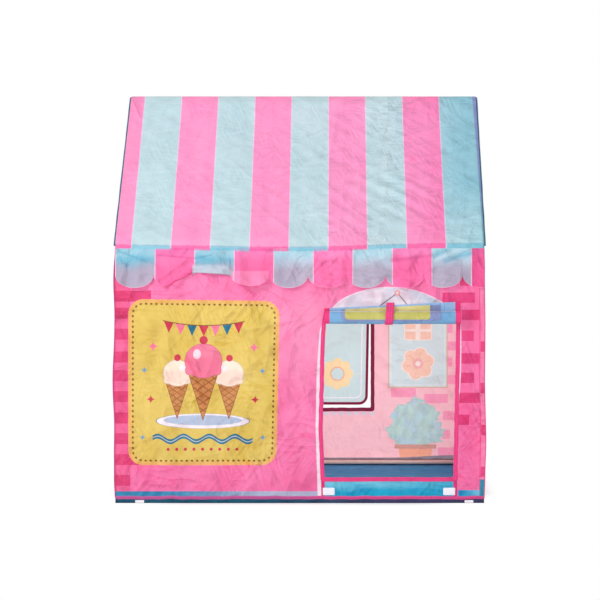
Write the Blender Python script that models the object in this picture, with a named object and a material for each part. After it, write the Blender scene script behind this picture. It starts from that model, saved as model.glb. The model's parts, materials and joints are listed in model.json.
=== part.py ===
"""A child's shop-front play tent.

Plastic poles in socket joints make a house-shaped frame. A sewn cover dresses it: printed walls,
gables, an awning-striped roof with a scalloped valance, a roll-up door held by a strap, and a
window with a hanging flap. Sizes are in metres, the front faces -Y and up is +Z.
"""

import math

import bmesh
import bpy
from mathutils import Vector

for old_object in list(bpy.data.objects):
    bpy.data.objects.remove(old_object)

# Sewn cover, measured over its outside
TENT_WIDTH = 0.930
TENT_DEPTH = 0.690
EAVE_HEIGHT = 0.652
RIDGE_HEIGHT = 1.044

# Cloth, and the gap left between pieces that touch
CLOTH = 0.0010
GAP = 0.0003

# Poles, the narrowed ends that plug into the next pole, and the ball joints with their sockets
POLE_RADIUS = 0.0060
POLE_WALL = 0.0010
SPIGOT_LENGTH = 0.028
SOCKET_WALL = 0.0017
SOCKET_DEPTH = 0.022
HUB_RADIUS = 0.0090
ROUND_SIDES = 16
HUB_RINGS = 8

# Floor tray and the piping over the seam between it and the walls
FLOOR_LIP = 0.012
BASE_PIPING_LOW = 0.008
BASE_PIPING_HIGH = 0.018

# Roof edges
EAVE_BAND = 0.012
RAKE_PIPING_DROP = 0.005

# Valance. Its lobes are numbered from 1 at the left
SCALLOP_PITCH = 0.097
SCALLOP_LOBE = 0.095
SCALLOP_CUSP = 0.063
SCALLOP_COLUMNS = 6
VALANCE_CREASE = 0.056
VALANCE_TURN_RADIUS = 0.0020
VALANCE_TURN_ONSET_SHARE = 0.7
VALANCE_ROWS = 3
VALANCE_TURN_ROWS = 3
VALANCE_HEM_ROWS = 3
VALANCE_FLARE = math.radians(4.5)
VALANCE_SWAY = math.radians(3.0)
VALANCE_SWAY_PITCH = 0.310
TUCKED_LOBE = 3
TUCKED_FLARE = math.radians(15.0)
TUCKED_TURN = math.radians(178.0)
FLICKED_LOBE = 4
FLICKED_TURN = math.radians(38.0)

# Doorway in the front wall
DOOR_LEFT = 0.058
DOOR_RIGHT = 0.391
DOOR_SILL = 0.064
DOOR_HEAD = 0.478
BINDING_REACH = 0.009

# Door flap, rolled up under its seam
ROLL_LEFT = 0.062
ROLL_RIGHT = 0.4045
ROLL_BOTTOM = 0.452
ROLL_HEIGHT = 0.036
ROLL_DEPTH = 0.027
ROLL_LAYER = 0.0018
ROLL_TURNS = 3
ROLL_SIDES = 20
ROLL_SHRINK_SHARE = 0.23
DOOR_SEAM_LEFT = 0.490
DOOR_SEAM_RIGHT = 0.507
STRAP_MIDDLE = 0.228
STRAP_WIDTH = 0.023
STRAP_TOP = 0.522
STRAP_BACK_TOP = 0.486
STRAP_SIDES = 8

# Hook-and-loop patches on the sill that hold the door shut
PATCH_WIDTH = 0.030
PATCH_LOW = 0.020
PATCH_HIGH = 0.039

# Window in the back wall and its hanging flap
WINDOW_HALF_WIDTH = 0.185
WINDOW_SILL = 0.164
WINDOW_HEAD = 0.497
FLAP_TOP = 0.506
FLAP_LEFT = 0.180
FLAP_RIGHT = 0.175
FLAP_BOTTOM = 0.173
FLAP_CORNER = 0.025
FLAP_CORNER_SIDES = 5
FLAP_BINDING_REACH = 0.007
FLAP_STAND_OFF = 0.0018

# Tape ties that hold the cover to the poles
TIE_TAPE = 0.0008
TIE_WIDTH = 0.015
TIE_MOUTH = 0.0030
TIE_SIDES = 12
POST_TIE_HEIGHT = 0.330

# Points closer than this are one point
WELD = 0.000001
SMOOTH_ANGLE = math.radians(40.0)

# Places that follow from the sizes above
half_width = TENT_WIDTH / 2
half_depth = TENT_DEPTH / 2
slope = math.atan2(RIDGE_HEIGHT - EAVE_HEIGHT, half_depth)
wall_outside = half_depth - CLOTH - GAP
wall_inside = wall_outside - CLOTH
side_outside = half_width - CLOTH - GAP
side_inside = side_outside - CLOTH
bore_radius = POLE_RADIUS + GAP
socket_radius = bore_radius + SOCKET_WALL
hub_clearance = HUB_RADIUS + GAP
joint_x = side_inside - hub_clearance
joint_y = wall_inside - hub_clearance
base_z = CLOTH + hub_clearance
roof_clearance = CLOTH + hub_clearance
eave_z = EAVE_HEIGHT - (roof_clearance - (half_depth - joint_y) * math.sin(slope)) / math.cos(slope)
ridge_z = RIDGE_HEIGHT - roof_clearance / math.cos(slope)
gable_seam = EAVE_HEIGHT - EAVE_BAND
strap_back_y = -(wall_outside + GAP + CLOTH + GAP + CLOTH / 2)
curtain_y = strap_back_y - CLOTH - GAP
roll_y = curtain_y - CLOTH / 2 - GAP - ROLL_DEPTH / 2
roll_z = ROLL_BOTTOM + ROLL_HEIGHT / 2
flap_inside = wall_outside + FLAP_STAND_OFF
flap_middle = flap_inside + CLOTH + GAP + CLOTH / 2


def under_roof(y):
    """The height just below the roof cloth, over the line at y."""
    outer = EAVE_HEIGHT + (half_depth - abs(y)) * math.tan(slope)
    return outer - (CLOTH + GAP) / math.cos(slope)


def material(name, colour, roughness, metallic=0.0):
    """A plain Principled material."""
    made = bpy.data.materials.new(name)
    made.use_nodes = True
    shader = made.node_tree.nodes["Principled BSDF"]
    shader.inputs["Base Color"].default_value = (*colour, 1.0)
    shader.inputs["Roughness"].default_value = roughness
    shader.inputs["Metallic"].default_value = metallic
    return made


pole_plastic = material("pole_plastic", (0.80, 0.80, 0.82), 0.35)
joint_plastic = material("joint_plastic", (0.72, 0.73, 0.76), 0.40)
wall_cloth = material("wall_cloth", (0.93, 0.25, 0.47), 0.60)
gable_cloth = material("gable_cloth", (0.16, 0.42, 0.56), 0.60)
roof_cloth = material("roof_cloth", (0.95, 0.36, 0.60), 0.55)
valance_cloth = material("valance_cloth", (0.50, 0.74, 0.80), 0.55)
floor_cloth = material("floor_cloth", (0.05, 0.20, 0.32), 0.50)
door_cloth = material("door_cloth", (0.34, 0.60, 0.80), 0.60)
flap_cloth = material("flap_cloth", (0.55, 0.68, 0.70), 0.60)
crimson_tape = material("crimson_tape", (0.72, 0.06, 0.22), 0.60)
teal_tape = material("teal_tape", (0.05, 0.16, 0.24), 0.60)
white_tape = material("white_tape", (0.80, 0.81, 0.84), 0.80)


def finish(name, bm, look, at=(0, 0, 0), turn=None, is_round=False):
    """Makes the named object from a mesh that was built about its own origin."""
    bmesh.ops.recalc_face_normals(bm, faces=bm.faces)
    mesh = bpy.data.meshes.new(name)
    bm.to_mesh(mesh)
    bm.free()
    mesh.materials.append(look)
    if is_round:
        mesh.shade_smooth()
        mesh.set_sharp_from_angle(angle=SMOOTH_ANGLE)
    made = bpy.data.objects.new(name, mesh)
    bpy.context.scene.collection.objects.link(made)
    made.location = at
    if turn is not None:
        made.rotation_mode = "QUATERNION"
        made.rotation_quaternion = turn
    return made


def finish_in_place(name, bm, look, origin=(0, 0, 0), is_round=False):
    """Makes the named object from a mesh built where it belongs, with its origin at a chosen point."""
    bmesh.ops.translate(bm, verts=bm.verts, vec=-Vector(origin))
    return finish(name, bm, look, at=origin, is_round=is_round)


def loft(bm, loops, is_ring=False):
    """Skins equal loops of points with quads. The end loops are filled, unless the row closes on itself."""
    rings = [[bm.verts.new(point) for point in loop] for loop in loops]
    pairs = list(zip(rings, rings[1:]))
    if is_ring:
        pairs.append((rings[-1], rings[0]))
    else:
        bm.faces.new(rings[0])
        bm.faces.new(rings[-1])
    for near, far in pairs:
        for i in range(len(near)):
            j = (i + 1) % len(near)
            bm.faces.new((near[i], near[j], far[j], far[i]))


def lofted(loops, is_ring=False):
    """A new mesh holding one loft."""
    bm = bmesh.new()
    loft(bm, loops, is_ring)
    return bm


def across(outline, x_from, x_to):
    """Two loops that carry an outline of (y, z) points from one x to another."""
    return [[(x, y, z) for y, z in outline] for x in (x_from, x_to)]


def through(outline, y_from, y_to):
    """Two loops that carry an outline of (x, z) points from one y to another."""
    return [[(x, y, z) for x, z in outline] for y in (y_from, y_to)]


def upright(left, right, low, high):
    """A rectangle's corners as pairs: across, then up."""
    return [(left, low), (right, low), (right, high), (left, high)]


def level(half_x, half_y, z):
    """The corners of a level rectangle about the tent's centre."""
    return [(-half_x, -half_y, z), (half_x, -half_y, z), (half_x, half_y, z), (-half_x, half_y, z)]


def thick_outline(line, thickness):
    """The closed outline of a tape of that thickness that follows a line of points in a plane."""
    points = [Vector(point) for point in line]
    sides = []
    for i, point in enumerate(points):
        ahead = points[min(i + 1, len(points) - 1)]
        behind = points[max(i - 1, 0)]
        along = (ahead - behind).normalized()
        sides.append(Vector((-along.y, along.x)) * thickness / 2)
    near = [tuple(point + side) for point, side in zip(points, sides)]
    far = [tuple(point - side) for point, side in zip(points, sides)]
    return near + far[::-1]


def turned_ring(profile):
    """A ring about Z whose section is a closed outline of (radius, height) points."""
    bm = bmesh.new()
    points = [bm.verts.new((radius, 0, height)) for radius, height in profile]
    edges = [bm.edges.new(pair) for pair in zip(points, points[1:] + points[:1])]
    bmesh.ops.spin(
        bm, geom=points + edges, axis=(0, 0, 1), cent=(0, 0, 0), angle=math.tau, steps=ROUND_SIDES,
        use_merge=True,
    )
    bmesh.ops.remove_doubles(bm, verts=bm.verts, dist=WELD)
    return bm


def facing(direction):
    """The turn that points local Z along a direction."""
    return Vector(direction).to_track_quat("Z", "Y")


def rod(start, direction, length, radius, twist):
    """A cylinder's loops, for joining and boring. Its twist, in sides, keeps two rods from lining up."""
    turn = facing(direction)
    start = Vector(start)
    corners = []
    for i in range(ROUND_SIDES):
        angle = math.tau * (i + twist) / ROUND_SIDES
        corners.append(Vector((math.cos(angle) * radius, math.sin(angle) * radius, 0)))
    lift = Vector((0, 0, length))
    return [[start + turn @ (corner + rise) for corner in corners] for rise in (Vector(), lift)]


def combine(target, tools, operation):
    """Joins or cuts the target with each tool, keeps the result as its mesh and removes the tools."""
    for tool in tools:
        modifier = target.modifiers.new(operation.lower(), "BOOLEAN")
        modifier.operation = operation
        modifier.solver = "EXACT"
        modifier.object = tool
    bpy.context.view_layer.update()
    shaped = target.evaluated_get(bpy.context.evaluated_depsgraph_get())
    mesh = bpy.data.meshes.new_from_object(shaped)
    target.modifiers.clear()
    target.data = mesh
    for tool in tools:
        bpy.data.objects.remove(tool)


def bore_start(arms):
    """How far from the hub the bores begin, so that a wall is left between any two of them."""
    start = HUB_RADIUS
    for i, first in enumerate(arms):
        for second in arms[i + 1:]:
            between = Vector(first).angle(Vector(second))
            start = max(start, (bore_radius + SOCKET_WALL / 2) / math.tan(between / 2))
    return start


def socket_joint(name, centre, arms):
    """A ball hub with one bored socket along each arm."""
    start = bore_start(arms)
    reach = start + SOCKET_DEPTH
    bm = bmesh.new()
    bmesh.ops.create_uvsphere(bm, u_segments=ROUND_SIDES, v_segments=HUB_RINGS, radius=HUB_RADIUS)
    joint = finish(name, bm, joint_plastic, is_round=True)
    sockets = []
    bores = []
    root = HUB_RADIUS / 3
    for i, arm in enumerate(arms):
        twist = (i + 1) / (len(arms) + 2)
        along = Vector(arm).normalized()
        outer = rod(along * root, arm, reach - root, socket_radius, twist)
        inner = rod(along * start, arm, reach, bore_radius, twist)
        sockets.append(finish("socket", lofted(outer), joint_plastic))
        bores.append(finish("bore", lofted(inner), joint_plastic))
    combine(joint, sockets, "UNION")
    combine(joint, bores, "DIFFERENCE")
    joint.data.shade_smooth()
    joint.data.set_sharp_from_angle(angle=SMOOTH_ANGLE)
    joint.location = centre
    return start


def pole(name, start, end, has_spigot=False):
    """A plastic tube from one point to another. A spigot reaches on past its end, into the next pole."""
    run = Vector(end) - Vector(start)
    length = run.length
    inner = POLE_RADIUS - POLE_WALL
    profile = [(inner, 0), (POLE_RADIUS, 0), (POLE_RADIUS, length)]
    if has_spigot:
        outside = inner - GAP
        inside = outside - POLE_WALL
        tip = length + SPIGOT_LENGTH
        profile += [(outside, length), (outside, tip), (inside, tip), (inside, length - POLE_WALL)]
        length -= POLE_WALL
    profile.append((inner, length))
    finish(name, turned_ring(profile), pole_plastic, at=start, turn=facing(run), is_round=True)


def seated_pole(name, start, end, start_bore, end_bore):
    """A pole between two joint centres, its ends resting in their bores."""
    along = (Vector(end) - Vector(start)).normalized()
    pole(name, Vector(start) + along * (start_bore + GAP), Vector(end) - along * (end_bore + GAP))


def plugged_poles(name, start, end, joint_bore):
    """Two half rails between two joint centres, the left one plugged into the right one."""
    start = Vector(start)
    end = Vector(end)
    middle = (start + end) / 2
    along = (end - start).normalized()
    seat = along * (joint_bore + GAP)
    stop = along * GAP / 2
    pole(name + "_left", start + seat, middle - stop, has_spigot=True)
    pole(name + "_right", middle + stop, end - seat)


def build_frame():
    """The house-shaped pole frame: joints first, then the poles that seat in them."""
    up = (0, 0, 1)
    down = (0, 0, -1)
    base_bore = 0
    eave_bore = 0
    ridge_bore = 0
    for side, to_middle in (("left", 1), ("right", -1)):
        x = -to_middle * joint_x
        for end, to_centre in (("front", 1), ("back", -1)):
            y = -to_centre * joint_y
            along_x = (to_middle, 0, 0)
            along_y = (0, to_centre, 0)
            up_rafter = (0, to_centre * math.cos(slope), math.sin(slope))
            corner = f"{end}_{side}"
            base_bore = socket_joint(f"base_corner_{corner}", (x, y, base_z), [along_x, along_y, up])
            arms = [along_x, along_y, down, up_rafter]
            eave_bore = socket_joint(f"eave_corner_{corner}", (x, y, eave_z), arms)
        to_eaves = [(0, way * math.cos(slope), -math.sin(slope)) for way in (-1, 1)]
        ridge_bore = socket_joint(f"ridge_joint_{side}", (x, 0, ridge_z), [(to_middle, 0, 0), *to_eaves])

    for side, x in (("left", -joint_x), ("right", joint_x)):
        for end, y in (("front", -joint_y), ("back", joint_y)):
            seated_pole(f"post_{end}_{side}", (x, y, base_z), (x, y, eave_z), base_bore, eave_bore)
            seated_pole(f"rafter_{end}_{side}", (x, y, eave_z), (x, 0, ridge_z), eave_bore, ridge_bore)
        seated_pole(f"base_rail_{side}", (x, -joint_y, base_z), (x, joint_y, base_z), base_bore, base_bore)
        seated_pole(f"eave_rail_{side}", (x, -joint_y, eave_z), (x, joint_y, eave_z), eave_bore, eave_bore)

    for end, y in (("front", -joint_y), ("back", joint_y)):
        for tier, z, bore in (("base", base_z, base_bore), ("eave", eave_z, eave_bore)):
            plugged_poles(f"{tier}_rail_{end}", (-joint_x, y, z), (joint_x, y, z), bore)
    plugged_poles("ridge_pole", (-joint_x, 0, ridge_z), (joint_x, 0, ridge_z), ridge_bore)


def build_floor():
    """The floor tray and the piping over the seam between it and the walls."""
    tray = [
        level(side_outside, wall_outside, 0),
        level(side_outside, wall_outside, FLOOR_LIP),
        level(side_inside, wall_inside, FLOOR_LIP),
        level(side_inside, wall_inside, CLOTH),
    ]
    finish("floor_sheet", lofted(tray), floor_cloth)

    near_x = side_outside + GAP
    near_y = wall_outside + GAP
    piping = [
        level(half_width, half_depth, BASE_PIPING_LOW),
        level(half_width, half_depth, BASE_PIPING_HIGH),
        level(near_x, near_y, BASE_PIPING_HIGH),
        level(near_x, near_y, BASE_PIPING_LOW),
    ]
    finish("base_piping", lofted(piping, is_ring=True), crimson_tape)


def pierced_panel(name, hole, y_outside, y_inside, look):
    """A front or back wall: a sheet with one rectangular hole."""
    edge = upright(-side_outside, side_outside, FLOOR_LIP + GAP, under_roof(wall_outside))
    loops = through(edge, y_outside, y_inside) + through(hole, y_inside, y_outside)
    finish_in_place(name, lofted(loops, is_ring=True), look, origin=(0, y_outside, 0))


def edge_binding(name, left, right, low, high, y_middle, reach):
    """A tape folded over the cut edge of a hole, with a leg on each face of the cloth."""
    fold = GAP + CLOTH
    deep = CLOTH / 2 + GAP + CLOTH
    shallow = CLOTH / 2 + GAP
    profile = [
        (-fold, -deep), (reach, -deep), (reach, -shallow), (-GAP, -shallow),
        (-GAP, shallow), (reach, shallow), (reach, deep), (-fold, deep),
    ]
    loops = []
    for out, depth in profile:
        corners = upright(left - out, right + out, low - out, high + out)
        loops.append([(x, y_middle + depth, z) for x, z in corners])
    finish_in_place(name, lofted(loops, is_ring=True), crimson_tape, origin=(0, y_middle, low))


def build_walls():
    """The four walls, the two gables, and the bindings of the doorway and window."""
    doorway = upright(DOOR_LEFT, DOOR_RIGHT, DOOR_SILL, DOOR_HEAD)
    pierced_panel("front_wall", doorway, -wall_outside, -wall_inside, wall_cloth)
    middle = -(wall_outside + wall_inside) / 2
    edge_binding("door_binding", DOOR_LEFT, DOOR_RIGHT, DOOR_SILL, DOOR_HEAD, middle, BINDING_REACH)

    window = upright(-WINDOW_HALF_WIDTH, WINDOW_HALF_WIDTH, WINDOW_SILL, WINDOW_HEAD)
    pierced_panel("back_wall", window, wall_outside, wall_inside, wall_cloth)
    sides = (-WINDOW_HALF_WIDTH, WINDOW_HALF_WIDTH)
    edge_binding("window_binding", *sides, WINDOW_SILL, WINDOW_HEAD, -middle, BINDING_REACH)

    end = wall_inside - GAP
    for side, sign in (("left", -1), ("right", 1)):
        outside = sign * side_outside
        inside = sign * side_inside
        wall = upright(-end, end, FLOOR_LIP + GAP, gable_seam)
        sheet = lofted(across(wall, outside, inside))
        finish_in_place(f"{side}_wall", sheet, wall_cloth, origin=(outside, 0, 0))
        gable = [
            (-end, gable_seam + GAP), (end, gable_seam + GAP), (end, under_roof(end)),
            (0, under_roof(0)), (-end, under_roof(end)),
        ]
        sheet = lofted(across(gable, outside, inside))
        finish_in_place(f"{side}_gable", sheet, gable_cloth, origin=(outside, 0, gable_seam))

    near = -(wall_outside + GAP)
    half_patch = PATCH_WIDTH / 2
    for side, x in (("left", DOOR_LEFT + half_patch), ("right", DOOR_RIGHT - half_patch)):
        patch = upright(x - half_patch, x + half_patch, PATCH_LOW, PATCH_HIGH)
        loops = through(patch, near - CLOTH, near)
        finish_in_place(f"door_patch_{side}", lofted(loops), white_tape, origin=(x, near, PATCH_LOW))


def build_roof():
    """Two roof panels that fold down at the eaves, and the piping along the gable edges."""
    drop = CLOTH / math.cos(slope)
    top = RIDGE_HEIGHT - GAP / 2 * math.tan(slope)
    inner_eave = EAVE_HEIGHT + CLOTH * math.tan(slope) - drop
    for end, sign in (("front", -1), ("back", 1)):
        section = [
            (sign * half_depth, gable_seam), (sign * half_depth, EAVE_HEIGHT), (sign * GAP / 2, top),
            (sign * GAP / 2, top - drop), (sign * (half_depth - CLOTH), inner_eave),
            (sign * (half_depth - CLOTH), gable_seam),
        ]
        loops = across(section, -side_outside, side_outside)
        finish_in_place(f"roof_{end}", lofted(loops), roof_cloth, origin=(0, 0, RIDGE_HEIGHT))

    fall = RAKE_PIPING_DROP / math.cos(slope)
    section = [
        (-half_depth, EAVE_HEIGHT), (0, RIDGE_HEIGHT), (half_depth, EAVE_HEIGHT),
        (half_depth, EAVE_HEIGHT - fall), (0, RIDGE_HEIGHT - fall), (-half_depth, EAVE_HEIGHT - fall),
    ]
    for side, sign in (("left", -1), ("right", 1)):
        near = sign * (side_outside + GAP)
        loops = across(section, near, sign * half_width)
        finish_in_place(f"rake_piping_{side}", lofted(loops), teal_tape, origin=(near, 0, RIDGE_HEIGHT))


def valance_steps(length):
    """The lengths of cloth between a valance line's points: the upper part, the turn and the hem."""
    hem = length - VALANCE_CREASE
    turn = min(TUCKED_TURN * VALANCE_TURN_RADIUS, hem / 2)
    upper = [VALANCE_CREASE / VALANCE_ROWS] * VALANCE_ROWS
    bend = [turn / VALANCE_TURN_ROWS] * VALANCE_TURN_ROWS
    return upper + bend + [(hem - turn) / VALANCE_HEM_ROWS] * VALANCE_HEM_ROWS


def valance_line(x):
    """The middle of the valance cloth at x, as (y, z) points from its seam down round any crease."""
    along = (x + side_outside) / SCALLOP_PITCH
    lobe = math.floor(along + WELD)
    swell = math.sqrt(max(0, 1 - (2 * (along - lobe) - 1) ** 2))
    sway = VALANCE_SWAY * math.sin(math.tau * x / VALANCE_SWAY_PITCH)
    flare = VALANCE_FLARE + (sway + VALANCE_SWAY) * swell / 2
    turn = 0
    if lobe + 1 == TUCKED_LOBE:
        flare = VALANCE_FLARE + (TUCKED_FLARE - VALANCE_FLARE) * swell
        turn = -TUCKED_TURN * min(swell / VALANCE_TURN_ONSET_SHARE, 1)
    if lobe + 1 == FLICKED_LOBE:
        turn = FLICKED_TURN * min(swell / VALANCE_TURN_ONSET_SHARE, 1)
    y = -half_depth + CLOTH / 2
    z = gable_seam - GAP
    points = [(y, z)]
    run = 0
    for step in valance_steps(SCALLOP_CUSP + (SCALLOP_LOBE - SCALLOP_CUSP) * swell):
        past = max(0, run + step / 2 - VALANCE_CREASE)
        lean = flare + turn * min(past / VALANCE_TURN_RADIUS / TUCKED_TURN, 1)
        y -= step * math.sin(lean)
        z -= step * math.cos(lean)
        run += step
        points.append((y, z))
    return points


def build_valance():
    """The scalloped strip under the front eave. It hangs from its seam, which is its origin."""
    columns = []
    step = SCALLOP_PITCH / SCALLOP_COLUMNS
    count = math.ceil(2 * side_outside / step - WELD)
    for i in range(count + 1):
        x = min(-side_outside + i * step, side_outside)
        columns.append([(x, y, z) for y, z in thick_outline(valance_line(x), CLOTH)])
    seam = (0, -half_depth, gable_seam - GAP)
    finish_in_place("valance", lofted(columns), valance_cloth, origin=seam, is_round=True)


def roll_spiral():
    """The rolled door's layers in section: down the back, round under and up the front, winding inwards."""
    points = []
    layer = ROLL_LAYER / 2
    for i in range(ROLL_TURNS * ROLL_SIDES + 1):
        turn = i / ROLL_SIDES
        shrink = 1 - ROLL_SHRINK_SHARE * turn
        angle = math.tau * turn
        y = roll_y + (ROLL_DEPTH / 2 - layer) * shrink * math.cos(angle)
        z = roll_z - (ROLL_HEIGHT / 2 - layer) * shrink * math.sin(angle)
        points.append((y, z))
    return points


def strap_line():
    """The strap in section: down the wall, round under the roll and up behind the curtain."""
    lap = GAP + CLOTH / 2
    share = (STRAP_MIDDLE - ROLL_LEFT) / (ROLL_RIGHT - ROLL_LEFT)
    seam_here = DOOR_SEAM_LEFT + (DOOR_SEAM_RIGHT - DOOR_SEAM_LEFT) * share
    wall_y = -(wall_outside + lap)
    front_y = curtain_y - CLOTH / 2 - lap
    points = [(wall_y, STRAP_TOP), (wall_y, (STRAP_TOP + seam_here) / 2), (front_y, seam_here + CLOTH)]
    for i in range(STRAP_SIDES + 1):
        angle = math.radians(120) + math.radians(150) * i / STRAP_SIDES
        y = roll_y + (ROLL_DEPTH / 2 + lap) * math.cos(angle)
        z = roll_z + (ROLL_HEIGHT / 2 + lap) * math.sin(angle)
        points.append((y, z))
    half_back = strap_back_y - roll_y
    for i in range(1, STRAP_SIDES + 1):
        angle = math.radians(270) + math.radians(90) * i / STRAP_SIDES
        y = roll_y + half_back * math.cos(angle)
        z = roll_z + (ROLL_HEIGHT / 2 + lap) * math.sin(angle)
        points.append((y, z))
    points.append((strap_back_y, STRAP_BACK_TOP))
    return points


def build_door():
    """The rolled door flap, the short curtain it hangs from and the strap."""
    seam = (0, curtain_y, roll_z)
    curtain = [
        (ROLL_LEFT, roll_z), (ROLL_RIGHT, roll_z),
        (ROLL_RIGHT, DOOR_SEAM_RIGHT), (ROLL_LEFT, DOOR_SEAM_LEFT),
    ]
    loops = through(curtain, curtain_y - CLOTH / 2, curtain_y + CLOTH / 2)
    finish_in_place("door_curtain", lofted(loops), door_cloth, origin=seam)

    roll = across(thick_outline(roll_spiral(), ROLL_LAYER), ROLL_LEFT, ROLL_RIGHT)
    finish_in_place("door_roll", lofted(roll), door_cloth, origin=(0, roll_y, roll_z), is_round=True)

    section = thick_outline(strap_line(), CLOTH)
    strap = across(section, STRAP_MIDDLE - STRAP_WIDTH / 2, STRAP_MIDDLE + STRAP_WIDTH / 2)
    sewn_at = (STRAP_MIDDLE, -wall_outside, STRAP_TOP)
    finish_in_place("door_strap", lofted(strap), crimson_tape, origin=sewn_at)


def flap_edge(inset):
    """The flap's left, bottom and right edge as (x, z) points, moved inwards by an inset."""
    left = -FLAP_LEFT
    right = FLAP_RIGHT
    radius = FLAP_CORNER - inset
    points = [(left + inset, FLAP_TOP)]
    for middle_x, begin in ((left + FLAP_CORNER, 180), (right - FLAP_CORNER, 270)):
        for i in range(FLAP_CORNER_SIDES + 1):
            angle = math.radians(begin + 90 * i / FLAP_CORNER_SIDES)
            x = middle_x + radius * math.cos(angle)
            z = FLAP_BOTTOM + FLAP_CORNER + radius * math.sin(angle)
            points.append((x, z))
    points.append((right - inset, FLAP_TOP))
    return points


def build_flap():
    """The window flap and the tape folded over its three free edges. Both turn about the flap's top."""
    hinge = (0, flap_middle, FLAP_TOP)
    half = CLOTH / 2
    cloth = through(flap_edge(GAP + CLOTH), flap_middle - half, flap_middle + half)
    finish_in_place("window_flap", lofted(cloth), flap_cloth, origin=hinge)

    whole = 2 * (flap_middle - flap_inside)
    profile = [
        (0, 0), (FLAP_BINDING_REACH, 0), (FLAP_BINDING_REACH, CLOTH), (CLOTH, CLOTH),
        (CLOTH, whole - CLOTH), (FLAP_BINDING_REACH, whole - CLOTH), (FLAP_BINDING_REACH, whole), (0, whole),
    ]
    rails = [[(x, flap_inside + depth, z) for x, z in flap_edge(inset)] for inset, depth in profile]
    stations = [list(station) for station in zip(*rails)]
    finish_in_place("flap_binding", lofted(stations), crimson_tape, origin=hinge)


def tie_outline(outwards):
    """A tape's outline round a post, with two tails that reach into the corner that outwards points to."""
    radius = POLE_RADIUS + GAP + TIE_TAPE / 2
    half_mouth = math.asin(TIE_MOUTH / 2 / radius)
    half_breadth = (TIE_MOUTH + TIE_TAPE) / 2
    tail = HUB_RADIUS * math.sqrt(2) - half_breadth
    tail_angle = math.atan2(outwards.y, outwards.x)
    sideways = Vector((-outwards.y, outwards.x)) * TIE_MOUTH / 2
    line = [outwards * tail + sideways]
    for i in range(TIE_SIDES + 1):
        angle = tail_angle + half_mouth + (math.tau - 2 * half_mouth) * i / TIE_SIDES
        line.append(Vector((math.cos(angle), math.sin(angle))) * radius)
    line.append(outwards * tail - sideways)
    return thick_outline(line, TIE_TAPE)


def build_ties():
    """Tape loops round the posts, sewn into the cover's corner seams."""
    half = TIE_WIDTH / 2
    for side, sign_x in (("left", -1), ("right", 1)):
        for end, sign_y in (("front", -1), ("back", 1)):
            outline = tie_outline(Vector((sign_x, sign_y)).normalized())
            loops = [[(u, v, z) for u, v in outline] for z in (-half, half)]
            place = (sign_x * joint_x, sign_y * joint_y, POST_TIE_HEIGHT)
            finish(f"post_tie_{end}_{side}", lofted(loops), white_tape, at=place)


build_frame()
build_floor()
build_walls()
build_roof()
build_valance()
build_door()
build_flap()
build_ties()
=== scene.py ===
"""The looks of the play tent: printed cloth, tapes, the rolled door, plastic poles, camera and light.

Cloth is made as fine sheets with a second, metric set of coordinates ("cloth"), in metres across and
up each panel. The prints are painted on those coordinates, shape by shape, in the materials.
"""

import json
import math

import bpy
import numpy as np
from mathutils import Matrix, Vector


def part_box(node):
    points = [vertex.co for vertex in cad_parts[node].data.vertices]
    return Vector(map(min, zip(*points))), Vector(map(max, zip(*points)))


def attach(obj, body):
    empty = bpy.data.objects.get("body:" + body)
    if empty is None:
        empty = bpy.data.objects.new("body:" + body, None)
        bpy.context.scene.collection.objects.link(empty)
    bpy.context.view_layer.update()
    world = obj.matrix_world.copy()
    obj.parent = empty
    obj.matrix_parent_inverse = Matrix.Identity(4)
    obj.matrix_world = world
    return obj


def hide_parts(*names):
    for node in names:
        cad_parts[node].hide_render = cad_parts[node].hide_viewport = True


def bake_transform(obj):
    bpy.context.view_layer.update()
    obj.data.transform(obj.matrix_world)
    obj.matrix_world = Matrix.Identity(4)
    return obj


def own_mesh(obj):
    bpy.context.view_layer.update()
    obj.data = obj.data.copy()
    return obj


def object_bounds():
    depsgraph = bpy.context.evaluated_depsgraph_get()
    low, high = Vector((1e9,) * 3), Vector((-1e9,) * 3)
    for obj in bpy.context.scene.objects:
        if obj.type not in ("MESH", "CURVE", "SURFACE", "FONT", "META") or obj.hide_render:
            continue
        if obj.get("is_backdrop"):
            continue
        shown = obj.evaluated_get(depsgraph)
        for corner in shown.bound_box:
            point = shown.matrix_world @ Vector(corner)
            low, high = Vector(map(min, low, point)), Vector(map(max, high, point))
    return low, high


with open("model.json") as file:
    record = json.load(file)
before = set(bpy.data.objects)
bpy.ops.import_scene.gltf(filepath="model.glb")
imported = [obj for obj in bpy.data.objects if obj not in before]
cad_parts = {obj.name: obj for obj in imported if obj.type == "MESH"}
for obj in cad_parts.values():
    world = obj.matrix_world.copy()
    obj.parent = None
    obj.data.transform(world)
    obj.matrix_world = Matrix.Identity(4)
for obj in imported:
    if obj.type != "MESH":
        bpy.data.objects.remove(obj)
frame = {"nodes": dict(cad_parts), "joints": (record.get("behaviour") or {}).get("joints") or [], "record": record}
cad_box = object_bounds()

# How finely cloth is made
COARSE = 0.008
FINE = 0.005
HEM = 0.0028
TAPE_STEP = 0.012
SHEET_ROWS = 64
VALANCE_ROWS = 44
CURTAIN_ROWS = 90

# Photograph: camera in metres, frame in pixels
CAMERA_PLACE = (0.1436, -5.052, 0.755)
LENS_IN_FRAMES = 3.12
SENSOR = 36.0
PHOTO_SIZE = 600.0
PHOTO_AXIS = (356.8, 203.0)

# Studio
ROOM_LIGHT = 0.53
LAMP_AIM = (0.0, 0.0, 0.5)
PAPER_REACH = 9.0

# Roof and valance stripes
ROOF_STRIPE = 0.0989
ROOF_STRIPE_START = -0.4230
VALANCE_STRIPE = 0.0994
VALANCE_STRIPE_START = -0.3634
STRIPE_LINE = 0.0022
EAVE_BAND = 0.012
EAVE_ROUND = 0.004
RIDGE_ROUND = 0.006

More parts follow.
